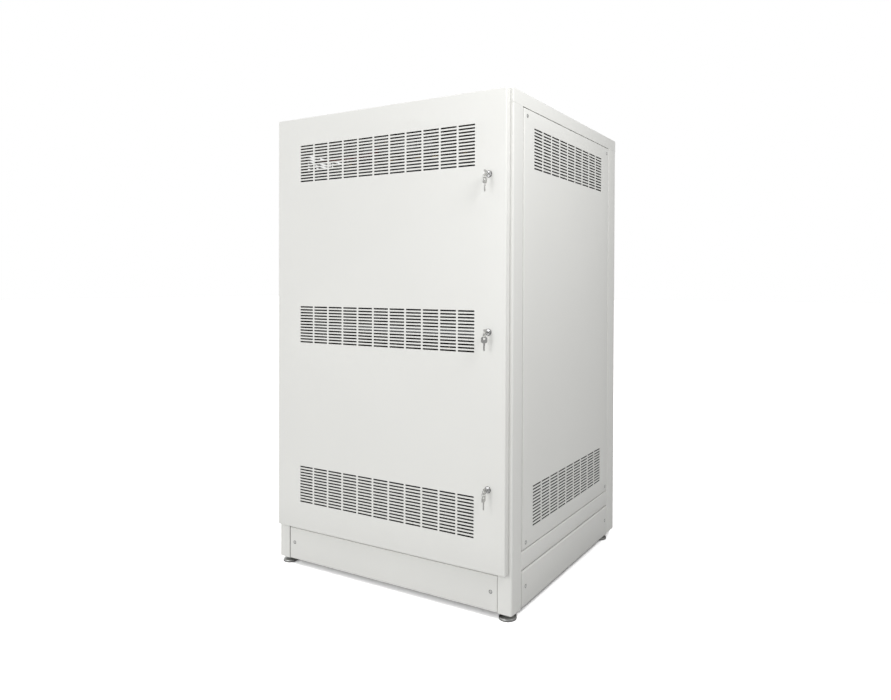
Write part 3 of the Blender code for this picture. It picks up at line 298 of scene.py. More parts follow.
# sides of a plate's hole less one, and of turned pieces by their size
HOLE_STEPS = 23
SMALL_STEPS = 24
MIDDLE_STEPS = 32
LARGE_STEPS = 40
TURN_STEPS = 48
DRILL_ROOM = 0.002

# ------ directions
RIGHT = Vector((1, 0, 0))
BACK = Vector((0, 1, 0))
UP = Vector((0, 0, 1))


def placed(origin, right, up):
    """A matrix that lays local X along right, local Y along up and local Z out of the face."""
    matrix = Matrix((right, up, right.cross(up))).transposed().to_4x4()
    matrix.translation = origin
    return matrix


def moved(way):
    return Matrix.Translation(way)


def turned(angle, axis):
    return Matrix.Rotation(angle, 4, axis)


# ------ materials
def colour_sockets(sockets):
    return [socket for socket in sockets if socket.type == "RGBA"]


def tinted(colour, factor=1.0):
    """A colour made darker or lighter, with its alpha."""
    return (*[channel * factor for channel in colour], 1.0)


class Nodes:
    """A short way to wire the node tree of one material or world."""

    def __init__(self, owner):
        owner.use_nodes = True
        self.owner = owner
        self.tree = owner.node_tree
        self.shader = self.tree.nodes.get("Principled BSDF")
        self.place = self.add("TexCoord").outputs["Object"]

    def add(self, kind, **settings):
        """A shader node, its sockets and properties set by name, with _ for a space."""
        node = self.tree.nodes.new(f"ShaderNode{kind}")
        for key, value in settings.items():
            socket = node.inputs.get(key.replace("_", " "))
            if socket is None:
                setattr(node, key, value)
            else:
                self.feed(socket, value)
        return node

    def feed(self, socket, source):
        """Links a socket to a node's output, or sets it to a number or colour."""
        if isinstance(source, bpy.types.NodeSocket):
            self.tree.links.new(source, socket)
        else:
            socket.default_value = source

    def noise(self, scale, detail=2.0, place=None):
        return self.add("TexNoise", Vector=place or self.place, Scale=scale, Detail=detail).outputs["Fac"]

    def cells(self, scale):
        return self.add("TexVoronoi", Vector=self.place, Scale=scale)

    def spread(self, value, low=0.0, high=1.0, start=0.3, end=0.7, **settings):
        """Stretches a value from the range start to end to the range low to high."""
        limits = {"From_Min": start, "From_Max": end, "To_Min": low, "To_Max": high}
        return self.add("MapRange", Value=value, **limits, **settings).outputs["Result"]

    def shade(self, factor, dark, light):
        """A colour between dark and light by a factor; dark may be a node's output."""
        node = self.add("Mix", data_type="RGBA", Factor=factor)
        first, second = colour_sockets(node.inputs)
        self.feed(first, dark)
        self.feed(second, light)
        return colour_sockets(node.outputs)[0]

    def bump(self, height, strength, distance, **normal):
        node = self.add("Bump", Height=height, Strength=strength, Distance=distance, **normal)
        return node.outputs["Normal"]

    def finish(self, **sockets):
        """Feeds the shader's sockets and returns the material."""
        for key, source in sockets.items():
            self.feed(self.shader.inputs[key.replace("_", " ")], source)
        return self.owner

    def split(self, as_light, as_seen, output):
        """Ends the tree in one shader for the light given off and another for what the camera sees."""
        mixed = self.add("MixShader", Fac=self.add("LightPath").outputs["Is Camera Ray"])
        self.feed(mixed.inputs[1], as_light)
        self.feed(mixed.inputs[2], as_seen)
        self.feed(self.tree.nodes[output].inputs["Surface"], mixed.outputs["Shader"])


def new_material(name):
    return Nodes(bpy.data.materials.new(name))


def powder_coat(name, colour, roughness=0.42):
    """Sprayed powder: fine orange peel over a faint cloudiness, its gloss a little patchy."""
    nodes = new_material(name)
    cloud = nodes.spread(nodes.noise(scale=2.5, detail=3.0))
    peel = nodes.bump(nodes.noise(scale=420.0, detail=3.0), strength=0.10, distance=0.0006)
    return nodes.finish(
        Base_Color=nodes.shade(cloud, tinted(colour, 0.985), tinted(colour)),
        Roughness=nodes.spread(nodes.noise(scale=60.0), roughness - 0.04, roughness + 0.05),
        Normal=nodes.bump(nodes.noise(scale=1900.0), strength=0.08, distance=0.0002, Normal=peel),
        Specular_IOR_Level=0.4,
    )


def plated(name, colour, roughness, spangle=0.0):
    """Plate over steel: faint streaks along Z, patchy gloss and, where it has spangle, crystal cells."""
    nodes = new_material(name)
    stretched = nodes.add("Mapping", Vector=nodes.place, Scale=(1.0, 1.0, 14.0)).outputs["Vector"]
    streak = nodes.noise(scale=90.0, detail=4.0, place=stretched)
    tint = nodes.shade(nodes.spread(streak), tinted(colour, 0.86), tinted(colour))
    if spangle:
        patch = nodes.add("SeparateColor", Color=nodes.cells(spangle).outputs["Color"])
        tint = nodes.shade(nodes.spread(patch.outputs["Red"], high=0.5), tint, tinted(colour, 1.12))
    return nodes.finish(
        Base_Color=tint,
        Roughness=nodes.spread(nodes.noise(scale=35.0, detail=4.0), roughness - 0.05, roughness + 0.08),
        Normal=nodes.bump(streak, strength=0.12, distance=0.0002),
        Metallic=1.0,
    )


def moulded(name, colour, roughness=0.5, grain=1500.0, strength=0.15):
    """Moulded plastic or rubber: an even fine grain, slight changes of tone and sheen."""
    nodes = new_material(name)
    cloud = nodes.spread(nodes.noise(scale=14.0, detail=4.0))
    return nodes.finish(
        Base_Color=nodes.shade(cloud, tinted(colour, 0.86), tinted(colour, 1.08)),
        Roughness=nodes.spread(nodes.noise(scale=45.0, detail=3.0), roughness - 0.06, roughness + 0.08),
        Normal=nodes.bump(nodes.noise(scale=grain), strength, distance=0.0003),
    )


def foam(name, colour):
    """Closed-cell foam: small open pores on a matt skin."""
    nodes = new_material(name)
    pores = nodes.cells(700.0).outputs["Distance"]
    return nodes.finish(
        Base_Color=nodes.shade(nodes.spread(pores), tinted(colour, 1.6), tinted(colour)),
        Normal=nodes.bump(pores, strength=0.5, distance=0.0008),
        Roughness=0.95,
    )


PAINT = powder_coat("off_white_powder_coat", (0.83, 0.83, 0.80))
ZINC = plated("zinc_plate", (0.62, 0.63, 0.64), 0.34, spangle=60.0)
# galvanised steel set far darker than bare zinc plate: partly the sheet's own dull grey, partly painted
# shade to keep the shelves, bracket and gland plate as dim as the shade they sit in
GALVANISED_AND_SHADE = plated("galvanised_sheet_and_shade", (0.24, 0.245, 0.255), 0.50, spangle=60.0)
SCREW_ZINC = plated("bright_zinc", (0.90, 0.90, 0.88), 0.34)
NICKEL = plated("nickel_plate", (0.62, 0.62, 0.605), 0.30)
CHROME = plated("satin_chrome", (0.80, 0.80, 0.80), 0.26)
# near-black for the lock bezels' rims and the screws' cup washers: painted shade, standing for the dark
# rings of shadow round them
PAINTED_SHADE_RIM = plated("rim_painted_shade", (0.11, 0.11, 0.11), 0.42)
STEEL = plated("turned_steel", (0.50, 0.50, 0.49), 0.30)
BRASS = plated("brass", (0.72, 0.55, 0.27), 0.28)
LEAD = plated("lead_post", (0.33, 0.34, 0.36), 0.48)
FOAM = foam("black_foam", (0.02, 0.02, 0.02))
# the blocks' case and lid are set near-black: partly their own dark plastic, partly painted shade for the
# dark inside of the cabinet
CASE_AND_SHADE = moulded("dark_grey_abs", (0.032, 0.033, 0.036))
LID_AND_SHADE = moulded("black_abs_lid_and_shade", (0.015, 0.0155, 0.017), 0.45)
RED_PLASTIC = moulded("red_pvc", (0.20, 0.014, 0.011), 0.42)
BLACK_PLASTIC = moulded("black_pvc", (0.018, 0.018, 0.019), 0.38)
BREAKER_PLASTIC = moulded("breaker_grey", (0.13, 0.135, 0.14), 0.45)
TOGGLE_PLASTIC = moulded("toggle_black", (0.015, 0.015, 0.016), 0.3)
RUBBER = moulded("black_rubber", (0.02, 0.02, 0.02), 0.7, 900.0, 0.3)


# ------ mesh helpers
def mesh_of(bm, name="scratch"):
    """The bmesh as a mesh; the bmesh is freed."""
    mesh = bpy.data.meshes.new(name)
    bm.to_mesh(mesh)
    bm.free()
    return mesh


def with_settings(thing, settings):
    for key, value in settings.items():
        setattr(thing, key, value)
    return thing


def shown(name, data):
    """A new object in the scene."""
    obj = bpy.data.objects.new(name, data)
    bpy.context.scene.collection.objects.link(obj)
    return obj


def piece(name, bm, materials, body, replaced=(), smooth=SMOOTH_ANGLE):
    """Makes a finished object from a bmesh and rides it on its body."""
    mesh = mesh_of(bm, name)
    for material in materials:
        mesh.materials.append(material)
    mesh.shade_smooth()
    mesh.set_sharp_from_angle(angle=math.radians(smooth))
    obj = shown(name, mesh)
    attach(obj, body)
    if replaced:
        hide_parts(*replaced)


def painted(name, bm, *replaced, body="cabinet"):
    piece(name, bm, [PAINT], body, replaced)


def add(target, source, matrix=None, slot=0):
    """Moves one bmesh into another, placed by matrix, its faces in one material slot."""
    if matrix is not None:
        source.transform(matrix)
    for face in source.faces:
        face.material_index = slot
    add_mesh(target, mesh_of(source))


def add_mesh(target, mesh):
    target.from_mesh(mesh)
    bpy.data.meshes.remove(mesh)


def evaluated(obj):
    """The object's mesh with its modifiers applied, as a bmesh; the object is removed."""
    bpy.context.view_layer.update()
    graph = bpy.context.evaluated_depsgraph_get()
    mesh = bpy.data.meshes.new_from_object(obj.evaluated_get(graph))
    bpy.data.objects.remove(obj, do_unlink=True)
    bm = bmesh.new()
    add_mesh(bm, mesh)
    return bm


def modified(bm, kind, **settings):
    """The bmesh with one modifier applied."""
    obj = shown("scratch", mesh_of(bm))
    with_settings(obj.modifiers.new(kind, kind), settings)
    return evaluated(obj)


def carved(body, cutter):
    """Body less cutter, two bmeshes in and one out."""
    tool = shown("scratch", mesh_of(cutter))
    result = modified(body, "BOOLEAN", operation="DIFFERENCE", solver="EXACT", object=tool)
    bpy.data.objects.remove(tool, do_unlink=True)
    return result


def thickened(bm, sheet):
    """A sheet given its thickness on the side that its faces turn away from."""
    return modified(bm, "SOLIDIFY", thickness=sheet, offset=-1.0, use_even_offset=True)


def bevel(bm, edges, radius, segments):
    bmesh.ops.bevel(bm, geom=edges, offset=radius, segments=segments, profile=0.5, affect="EDGES")


def merge(bm):
    bmesh.ops.remove_doubles(bm, verts=bm.verts, dist=NEAR)


def rounded_box(low, high, radius, segments=3):
    low, high = Vector(low), Vector(high)
    bm = bmesh.new()
    matrix = moved((low + high) / 2) @ Matrix.Diagonal((*(high - low), 1.0))
    bmesh.ops.create_cube(bm, size=1.0, matrix=matrix)
    bevel(bm, bm.edges[:], radius, segments)
    return bm


def lathe(profile, steps=TURN_STEPS):
    """(radius, height) points turned about Z."""
    bm = bmesh.new()
    line = [bm.verts.new((radius, 0.0, height)) for radius, height in profile]
    edges = [bm.edges.new(pair) for pair in zip(line, line[1:])]
    bmesh.ops.spin(bm, geom=line + edges, axis=UP, angle=FULL_TURN, steps=steps, use_merge=True)
    merge(bm)
    bmesh.ops.recalc_face_normals(bm, faces=bm.faces)
    return bm


def solid(profile, steps=TURN_STEPS):
    """A lathe whose profile is closed to the axis, level with its two ends."""
    return lathe([(0.0, profile[0][1]), *profile, (0.0, profile[-1][1])], steps)


def hexagon(radius, bottom, top, edge):
    bm = bmesh.new()
    bmesh.ops.create_cone(bm, cap_ends=True, segments=6, radius1=radius, radius2=radius,
                          depth=top - bottom, matrix=moved((0, 0, (bottom + top) / 2)))
    bevel(bm, bm.edges[:], edge, 2)
    return bm


def hex_nut(radius, bottom, top, bore):
    """A chamfered six-sided nut about Z with a round bore."""
    reach = top - bottom + DRILL_ROOM
    drill = solid([(bore, top + reach), (bore, bottom - reach)])
    return carved(hexagon(radius, bottom, top, radius * NUT_EDGE), drill)


def curved(lines, closed, **settings):
    """Polylines as one curve with these settings, as a bmesh."""
    curve = with_settings(bpy.data.curves.new("scratch", "CURVE"), settings)
    for line in lines:
        spline = curve.splines.new("POLY")
        spline.points.add(len(line) - 1)
        for point, spot in zip(spline.points, line):
            point.co = (*spot, 1.0)
        spline.use_cyclic_u = closed
    return evaluated(shown("scratch", curve))


def plate(outlines, thickness):
    """A flat plate in the XY plane from closed outlines, the later ones holes, its edges softened."""
    lines = [[(x, y, 0.0) for x, y in outline] for outline in outlines]
    bm = curved(lines, True, dimensions="2D", fill_mode="BOTH", extrude=thickness / 2 - PLATE_EDGE,
                bevel_depth=PLATE_EDGE, bevel_resolution=1, offset=-PLATE_EDGE)
    merge(bm)
    return bm


def tube(points, radius):
    """A round tube with end caps through the points."""
    return curved([points], False, dimensions="3D", bevel_depth=radius, bevel_resolution=3,
                  use_fill_caps=True)


def arc(x, y, radius, start, sweep, steps):
    angles = [start + sweep * step / steps for step in range(steps + 1)]
    return [(x + radius * math.cos(angle), y + radius * math.sin(angle)) for angle in angles]


def round_hole(radius):
    """A circle as an open ring of points, clockwise, for a plate's hole."""
    return arc(0.0, 0.0, radius, 0.0, -FULL_TURN * HOLE_STEPS / (HOLE_STEPS + 1), HOLE_STEPS)


def raised(bm, geometry, height, extrude):
    """Extrudes edges or faces up along Z."""
    result = extrude(bm, **geometry)["geom"]
    tops = [item for item in result if isinstance(item, bmesh.types.BMVert)]
    bmesh.ops.translate(bm, vec=UP * height, verts=tops)
    bmesh.ops.recalc_face_normals(bm, faces=bm.faces)


# ------ sheet pans and their vents
def delete_faces(bm, chosen):
    """Deletes the faces that a test of their middle and normal chooses."""
    faces = [face for face in bm.faces if chosen(face.calc_center_median(), face.normal)]
    bmesh.ops.delete(bm, geom=faces, context="FACES")


def pan_shell(width, height, depth, radius, segments=ROLL_STEPS):
    """The outer face of a sheet pan: front at local Z 0, open at the back, its edges rolled over."""
    bm = bmesh.new()
    middle = moved((width / 2, height / 2, -depth / 2))
    bmesh.ops.create_cube(bm, size=1.0, matrix=middle @ Matrix.Diagonal((width, height, depth, 1.0)))
    bmesh.ops.recalc_face_normals(bm, faces=bm.faces)
    delete_faces(bm, lambda _, normal: normal.z < -FLAT)
    bevel(bm, [edge for edge in bm.edges if len(edge.link_faces) == 2], radius, segments)
    return bm


def extent(face):
    """The face's left, bottom, right and top."""
    xs = [vert.co.x for vert in face.verts]
    ys = [vert.co.y for vert in face.verts]
    return min(xs), min(ys), max(xs), max(ys)


def flat_faces(bm):
    """The faces of the flat front, each with its extent."""
    return [(face, extent(face)) for face in bm.faces if face.normal.z > FLAT]


def faces_between(bm, low, high):
    """Faces of the flat front whose middles are between two corners."""
    return [face for face, (left, bottom, right, top) in flat_faces(bm)
            if low[0] < (left + right) / 2 < high[0] and low[1] < (bottom + top) / 2 < high[1]]


def face_at(bm, x, y):
    """The face of the flat front that holds a point."""
    return next(face for face, (left, bottom, right, top) in flat_faces(bm)
                if left < x < right and bottom < y < top)


def sliced(bm, faces, spot, normal):
    """Cuts the faces along a plane."""
    parts = set(faces)
    for face in faces:
        parts.update(face.edges)
        parts.update(face.verts)
    bmesh.ops.bisect_plane(bm, geom=list(parts), plane_co=spot, plane_no=normal, dist=CUT_NEAR)


def cut(bm, faces, axis, value):
    normal = (RIGHT, BACK)[axis]
    sliced(bm, faces, normal * value, normal)


def cut_window(bm, low, high):
    """Cuts a rectangle free in the flat front and returns its face."""
    middle = ((low[0] + high[0]) / 2, (low[1] + high[1]) / 2)
    for axis in (1, 0):
        for value in (low[axis], high[axis]):
            cut(bm, [face_at(bm, *middle)], axis, value)
    return face_at(bm, *middle)


def punch(bm, face, width, height, radius, steps=2):
    """Punches a rounded hole in the middle of a rectangular face; steps is even."""
    left, bottom, right, top = extent(face)
    x, y = (left + right) / 2, (bottom + top) / 2
    signs = ((1, 1), (-1, 1), (-1, -1), (1, -1))
    outer = [min(face.verts, key=lambda vert: -sx * vert.co.x - sy * vert.co.y) for sx, sy in signs]
    arcs = []
    for turn, (sx, sy) in enumerate(signs):
        corner = (x + sx * (width / 2 - radius), y + sy * (height / 2 - radius))
        spots = arc(*corner, radius, turn * QUARTER, QUARTER, steps)
        arcs.append([bm.verts.new((*spot, 0.0)) for spot in spots])
    sides = []
    half = steps // 2
    for turn in range(4):
        after = (turn + 1) % 4
        rim = side_verts(face, outer[turn], outer[after])
        sides.append(rim + list(reversed(arcs[turn][half:] + arcs[after][:half + 1])))
    bmesh.ops.delete(bm, geom=[face], context="FACES_ONLY")
    for side in sides:
        bm.faces.new(side)


def side_verts(face, first, last):
    """The face's corners in order from first to last, with any extra ones on the edge between them."""
    ring = list(face.verts)
    start = ring.index(first)
    ring = ring[start:] + ring[:start]
    return ring[:ring.index(last) + 1]


def add_vent(bm, x, y, columns):
    """Punches one vent, its middle at local x, y."""
    half = (SLOT_PITCH[0] * columns / 2, SLOT_PITCH[1] * SLOT_ROWS / 2)
    low = (x - half[0], y - half[1])
    high = (x + half[0], y + half[1])
    cut_window(bm, low, high)
    for axis, count in ((1, SLOT_ROWS), (0, columns)):
        for step in range(1, count):
            cut(bm, faces_between(bm, low, high), axis, low[axis] + SLOT_PITCH[axis] * step)
    for face in faces_between(bm, low, high):
        punch(bm, face, *SLOT_SIZE, SLOT_CORNER)


def add_round_hole(bm, x, y, radius, room):
    face = cut_window(bm, (x - room, y - room), (x + room, y + room))
    punch(bm, face, 2 * radius, 2 * radius, radius, ROUND_HOLE_STEPS)


def finished_sheet(bm, matrix, sheet=SHEET):
    """Turns a pan's outer face into a solid sheet in its place."""
    merge(bm)
    result = thickened(bm, sheet)
    result.transform(matrix)
    return result


# ------ where the frame's pieces are
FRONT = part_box("post_front_left")[0].y
POST_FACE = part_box("post_front_right")[0].x
SIDE_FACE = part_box("post_front_right")[1].x
DOOR_LOW, DOOR_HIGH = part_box("door_panel")
JOINTS = {joint["name"]: joint for joint in frame["record"]["behaviour"]["joints"]}


def middle_of(node):
    low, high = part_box(node)
    return (low + high) / 2


# ------ door
def make_door():
    """The door pan: three vents, three lock holes and a notch for each hinge in its left return."""
    size = DOOR_HIGH - DOOR_LOW
    bm = pan_shell(size.x, size.z, size.y + DOOR_CLOSER, WIDE_PAN_RADIUS)
    trim_hinge_side(bm, size.y)
    for step in (-1, 0, 1):
        add_vent(bm, size.x / 2, size.z / 2 + step * DOOR_VENT_SPACING, DOOR_COLUMNS)
    for word in LOCK_WORDS:
        spot = middle_of(f"lock_barrel_{word}") - DOOR_LOW
        add_round_hole(bm, spot.x, spot.z, LOCK_HOLE_RADIUS, LOCK_HOLE_ROOM)
    notch_left_return(bm)
    painted("door_skin", finished_sheet(bm, placed(DOOR_LOW, RIGHT, UP)), "door_panel", body="door")


def trim_hinge_side(bm, depth):
    """Keeps the returns beside the hinges back from the posts, so that the swinging door clears them."""
    for spot, normal in ((RIGHT * HINGE_SIDE_TRIM, RIGHT), (UP * -depth, UP)):
        sliced(bm, [face for face in bm.faces if face.calc_center_median().z < -DOOR_CLOSER], spot, normal)
    delete_faces(bm, lambda middle, _: middle.z < -depth and middle.x < HINGE_SIDE_TRIM)


def notch_left_return(bm):
    """Opens the left return flange beside each hinge's knuckles."""
    for number in HINGES:
        low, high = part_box(f"hinge_door_{number}")
        middle = low.z - NOTCH_DROP - DOOR_LOW.z
        reach = (high.z - low.z) + NOTCH_ROOM
        for value in (middle - reach, middle + reach):
            cut(bm, [face for face in bm.faces if face.normal.x < -SIDE_FACING], 1, value)
        delete_faces(bm, lambda spot, normal: normal.x < -SIDE_FACING and abs(spot.y - middle) < reach)


# ------ screws
def cross_recess(bottom, top):
    """A plus-shaped cutter, its corners in one flat outline."""
    reach, half = SCREW_HEAD_RADIUS * RECESS_REACH, SCREW_HEAD_RADIUS * RECESS_HALF
    outline = []
    for turn in range(4):
        spin = Matrix.Rotation(turn * QUARTER, 2)
        outline += [tuple(spin @ Vector(point)) for point in ((reach, -half), (reach, half), (half, half))]
    bm = bmesh.new()
    base = bm.faces.new([bm.verts.new((x, y, bottom)) for x, y in outline])
    raised(bm, {"geom": [base]}, top - bottom, bmesh.ops.extrude_face_region)
    return bm


def make_screw_mesh():
    """A low round head with a cross recess in a cup washer coloured near-black as painted shade round the
    head, its seat at local Z 0.
    """
    head = lathe([(SCREW_HEAD_RADIUS * out, SCREW_HEIGHT * up) for out, up in HEAD_PROFILE], SCREW_STEPS)
    bore = SCREW_HEAD_RADIUS * CUP_BORE
    lip = (bore, SCREW_HEIGHT * CUP_LIP)
    cup = [lip] + [(SCREW_RADIUS * out, SCREW_HEIGHT * up) for out, up in CUP_PROFILE] + [(bore, 0.0), lip]
    bm = bmesh.new()
    add(bm, carved(head, cross_recess(SCREW_HEIGHT * RECESS_FLOOR, DRILL_REACH)))
    # the cup washer takes the near-black rim material: painted shade for the dark ring round each screw head
    add(bm, lathe(cup, SCREW_STEPS), slot=1)
    mesh = mesh_of(bm, "cup_washer_screw")
    mesh.materials.append(SCREW_ZINC)
    mesh.materials.append(PAINTED_SHADE_RIM)
    return mesh


SCREW = make_screw_mesh()


def make_screw(name, spot, outward):
    """One screw head, its cross turned a little differently from the next."""
    obj = shown(name, SCREW)
    spin = Matrix.Rotation(spot.dot(SCREW_TURNS) % SCREW_TURN_MOST, 4, "Z")
    obj.matrix_world = moved(spot) @ outward.to_track_quat("Z", "Y").to_matrix().to_4x4() @ spin
    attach(obj, "cabinet")


# ------ frame and panels
def make_side_pan(node, side, rise, drop, vents, screws):
    """A pan on a side of the cabinet, a little proud of the posts, with vents at some heights.

    Screws go down both its ends, at named heights.
    """
    low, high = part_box(node)
    face_x = side * (SIDE_FACE + PANEL_PROUD)
    depth = abs(face_x) - min(abs(low.x), abs(high.x))
    near = low + Vector((0, END_EASE, rise))
    far = high - Vector((0, END_EASE, drop))
    bm = pan_shell(far.y - near.y, far.z - near.z, depth, WIDE_PAN_RADIUS)
    middle = FRONT + SIDE_VENT_MIDDLE
    for height in vents:
        add_vent(bm, middle - near.y if side > 0 else far.y - middle, height - near.z, SIDE_COLUMNS)
    origin = Vector((face_x, near.y if side > 0 else far.y, near.z))
    painted(f"{node}_skin", finished_sheet(bm, placed(origin, BACK * side, UP)), node)
    for end, y in (("front", low.y + SCREW_INSET), ("rear", high.y - SCREW_INSET)):
        for word, z in screws:
            make_screw(f"{node}_screw_{end}{word}", Vector((face_x, y, z)), RIGHT * side)


def make_side(word, side):
    """A side panel with its two vents and four corner screws, and the plinth below it with two."""
    low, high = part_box(f"side_panel_{word}")
    screws = (("_lower", low.z + PANEL_SCREW_RISE), ("_upper", high.z - PANEL_SCREW_RISE))
    make_side_pan(f"side_panel_{word}", side, LOWER_EASE, -UPPER_EASE, SIDE_VENT_HEIGHTS, screws)
    make_side_pan(f"plinth_{word}", side, 0, LOWER_EASE, (), (("", PLINTH_SCREW_HEIGHT),))


def make_front_plinth():
    low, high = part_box("plinth_front")
    low.y = FRONT + PAN_SINK
    bm = pan_shell(high.x - low.x, high.z - low.z, high.y - low.y, PAN_RADIUS)
    painted("plinth_front_skin", finished_sheet(bm, placed(low, RIGHT, UP)), "plinth_front")
    for word, side in SIDES:
        make_screw(f"plinth_front_screw_{word}",
                   Vector((side * (high.x - SCREW_INSET), low.y, PLINTH_SCREW_HEIGHT)), -BACK)


def make_rear_panel():
    """The plain rear pan, held by five screws down each edge."""
    low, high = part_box("rear_panel")
    high.y -= PAN_SINK
    bm = pan_shell(high.x - low.x, high.z - low.z, high.y - low.y, PAN_RADIUS)
    origin = Vector((high.x, high.y, low.z))
    painted("rear_panel_skin", finished_sheet(bm, placed(origin, -RIGHT, UP)), "rear_panel")
    pitch = (high.z - low.z - 2 * REAR_SCREW_RISE) / (REAR_SCREW_ROWS - 1)
    for word, side in SIDES:
        for row in range(REAR_SCREW_ROWS):
            z = low.z + REAR_SCREW_RISE + pitch * row
            spot = Vector((side * (high.x - REAR_SCREW_INSET), high.y, z))
            make_screw(f"rear_panel_screw_{word}_{row}", spot, BACK)


def make_cover():
    """The cover pan, and the strips inside it that stand behind the gap above the side and rear panels."""
    low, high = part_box("top_cover")
    bm = pan_shell(high.x - low.x, high.y - low.y, high.z - low.z, PAN_RADIUS)
    origin = Vector((low.x, low.y, high.z))
    painted("cover_skin", finished_sheet(bm, placed(origin, RIGHT, BACK), FRAME_SHEET), "top_cover")
    bottom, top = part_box("side_panel_right")[1].z - SEAT_LAP, low.z + SEAT_LAP
    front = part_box("post_front_right")[1].y
    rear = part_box("post_rear_right")[0]
    place = high.y - SEAT_PLACE
    add_seat("rear", (-rear.x, place, bottom), (rear.x, place + SHEET, top))
    for word, side in SIDES:
        near, far = sorted((side * (high.x - SEAT_PLACE), side * (high.x - SEAT_PLACE + SHEET)))
        add_seat(word, (near, front, bottom), (far, rear.y, top))


def add_seat(word, low, high):
    painted(f"cover_seat_{word}", rounded_box(low, high, FINE_EDGE, 1))


def make_rails():
    for word, side in SIDES:
        node = f"side_rail_{word}"
        low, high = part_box(node)
        bm = pan_shell(high.y - low.y, high.z - low.z, high.x - low.x, WIDE_PAN_RADIUS, RAIL_ROLL_STEPS)
        origin = Vector((high.x if side > 0 else low.x, low.y if side > 0 else high.y, low.z))
        painted(f"{node}_skin", finished_sheet(bm, placed(origin, BACK * side, UP), FRAME_SHEET), node)


def bent_path(path, bends):
    """Replaces the path's corners by arcs; bends gives a radius for each corner that is bent."""
    points = []
    for index, corner in enumerate(path):
        radius = bends.get(index)
        if radius is None:
            points.append(corner)
            continue
        spot = Vector(corner)
        first = (Vector(path[index - 1]) - spot).normalized()
        last = (Vector(path[index + 1]) - spot).normalized()
        centre = spot + (first + last) * radius
        sweep = (-last).angle_signed(-first)
        points += arc(centre.x, centre.y, radius, math.atan2(-last.y, -last.x), -sweep, BEND_STEPS)
    return points


def make_post(word, side, end):
    """A corner post: face wall, round corner, side wall, joggle and the seat strip behind the side panel."""
    node = f"post_{end}_{word}"
    is_front = end == "front"
    low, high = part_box(node)
    outer = max(side * low.x, side * high.x)
    inward = 1 if is_front else -1
    face_y = low.y if is_front else high.y
    width = high.y - low.y - POST_SEAT
    # (distance from the cabinet's middle, distance in from the face)
    path = [] if is_front else [(POST_FACE - POST_SEAT, POST_RECESS), (POST_FACE, POST_RECESS)]
    first_bend = len(path) + 1
    path += [
        (POST_FACE, 0.0),
        (outer, 0.0),
        (outer, width),
        (outer - JOGGLE_DEPTH, width),
        (outer - JOGGLE_DEPTH, width + JOGGLE_WIDTH),
        (outer - POST_RECESS, width + JOGGLE_WIDTH),
        (outer - POST_RECESS, width + POST_SEAT),
    ]
    bends = dict(enumerate(POST_BENDS, first_bend))
    if not is_front:
        bends |= {1: REAR_BEND, 2: REAR_BEND}
    path = [(x, face_y + inward * y) for x, y in path]
    bm = bmesh.new()
    line = [bm.verts.new((x * side, y, low.z)) for x, y in bent_path(path, bends)]
    edges = [bm.edges.new(pair) for pair in zip(line, line[1:])]
    raised(bm, {"edges": edges}, high.z - low.z, bmesh.ops.extrude_edge_only)
    widest = max(bm.faces, key=lambda face: abs(face.calc_center_median().x) * face.calc_area())
    if widest.normal.x * side < 0:
        bmesh.ops.reverse_faces(bm, faces=bm.faces)
    post = thickened(bm, FRAME_SHEET)

    wall = FRAME_SHEET + PLATE_ROOM
    plate_end = width - wall if is_front else width + POST_SEAT - PLATE_END_ROOM
    plate_outer = outer - wall if is_front else outer - POST_RECESS - wall
    near, far = sorted((face_y + inward * wall, face_y + inward * plate_end))
    left, right = sorted((side * (POST_FACE + PLATE_LIFT), side * plate_outer))
    floor = low.z + PLATE_LIFT
    flat = rounded_box((left, near, floor), (right, far, low.z + 2 * FRAME_SHEET), FINE_EDGE, 1)
    drill = solid([(STUD_HOLE, DRILL_REACH), (STUD_HOLE, -DRILL_REACH)], MIDDLE_STEPS)
    foot = middle_of(f"foot_{end}_{word}")
    drill.transform(moved((foot.x, foot.y, floor)))
    add(post, carved(flat, drill))
    painted(f"{node}_skin", post, node)


# ------ levelling feet
def make_foot(node):
    """A turned disc foot, its lock nut and threaded stud."""
    low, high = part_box(node)
    middle = middle_of(node)
    radius = (high.x - low.x) / 2
    pad = [(radius - inset, height) for inset, height in PAD_PROFILE]
    disc = [(radius - inset, height) for inset, height in DISC_PROFILE]
    disc += [(radius * part, height) for part, height in HUB_PROFILE]
    bm = bmesh.new()
    add(bm, solid(pad, FOOT_STEPS), slot=2)
    add(bm, solid(disc, FOOT_STEPS))
    add(bm, hex_nut(*FOOT_NUT, STUD_RADIUS * NUT_BITE), slot=1)
    stud = [(0.0, HUB_PROFILE[-1][1])]
    for turn in range(int((high.z - STUD_PLAIN) / STUD_PITCH)):
        height = STUD_START + turn * STUD_PITCH
        stud += [(STUD_RADIUS - STUD_THREAD, height)]
        stud += [(STUD_RADIUS, height + STUD_PITCH * part) for part in STUD_CREST]
    stud += [(STUD_RADIUS - STUD_TIP[0], high.z - STUD_TIP[1]), (0.0, high.z)]
    add(bm, lathe(stud, MIDDLE_STEPS), slot=1)
    bm.transform(moved((middle.x, middle.y, low.z)))
    piece(f"{node}_turned", bm, [STEEL, ZINC, RUBBER], f"{node}_stud", [node])


# ------ locks, keys and rings
def facing_front(spot):
    """Lays a local Z axis along -Y, local Y up."""
    return placed(spot, RIGHT, UP)


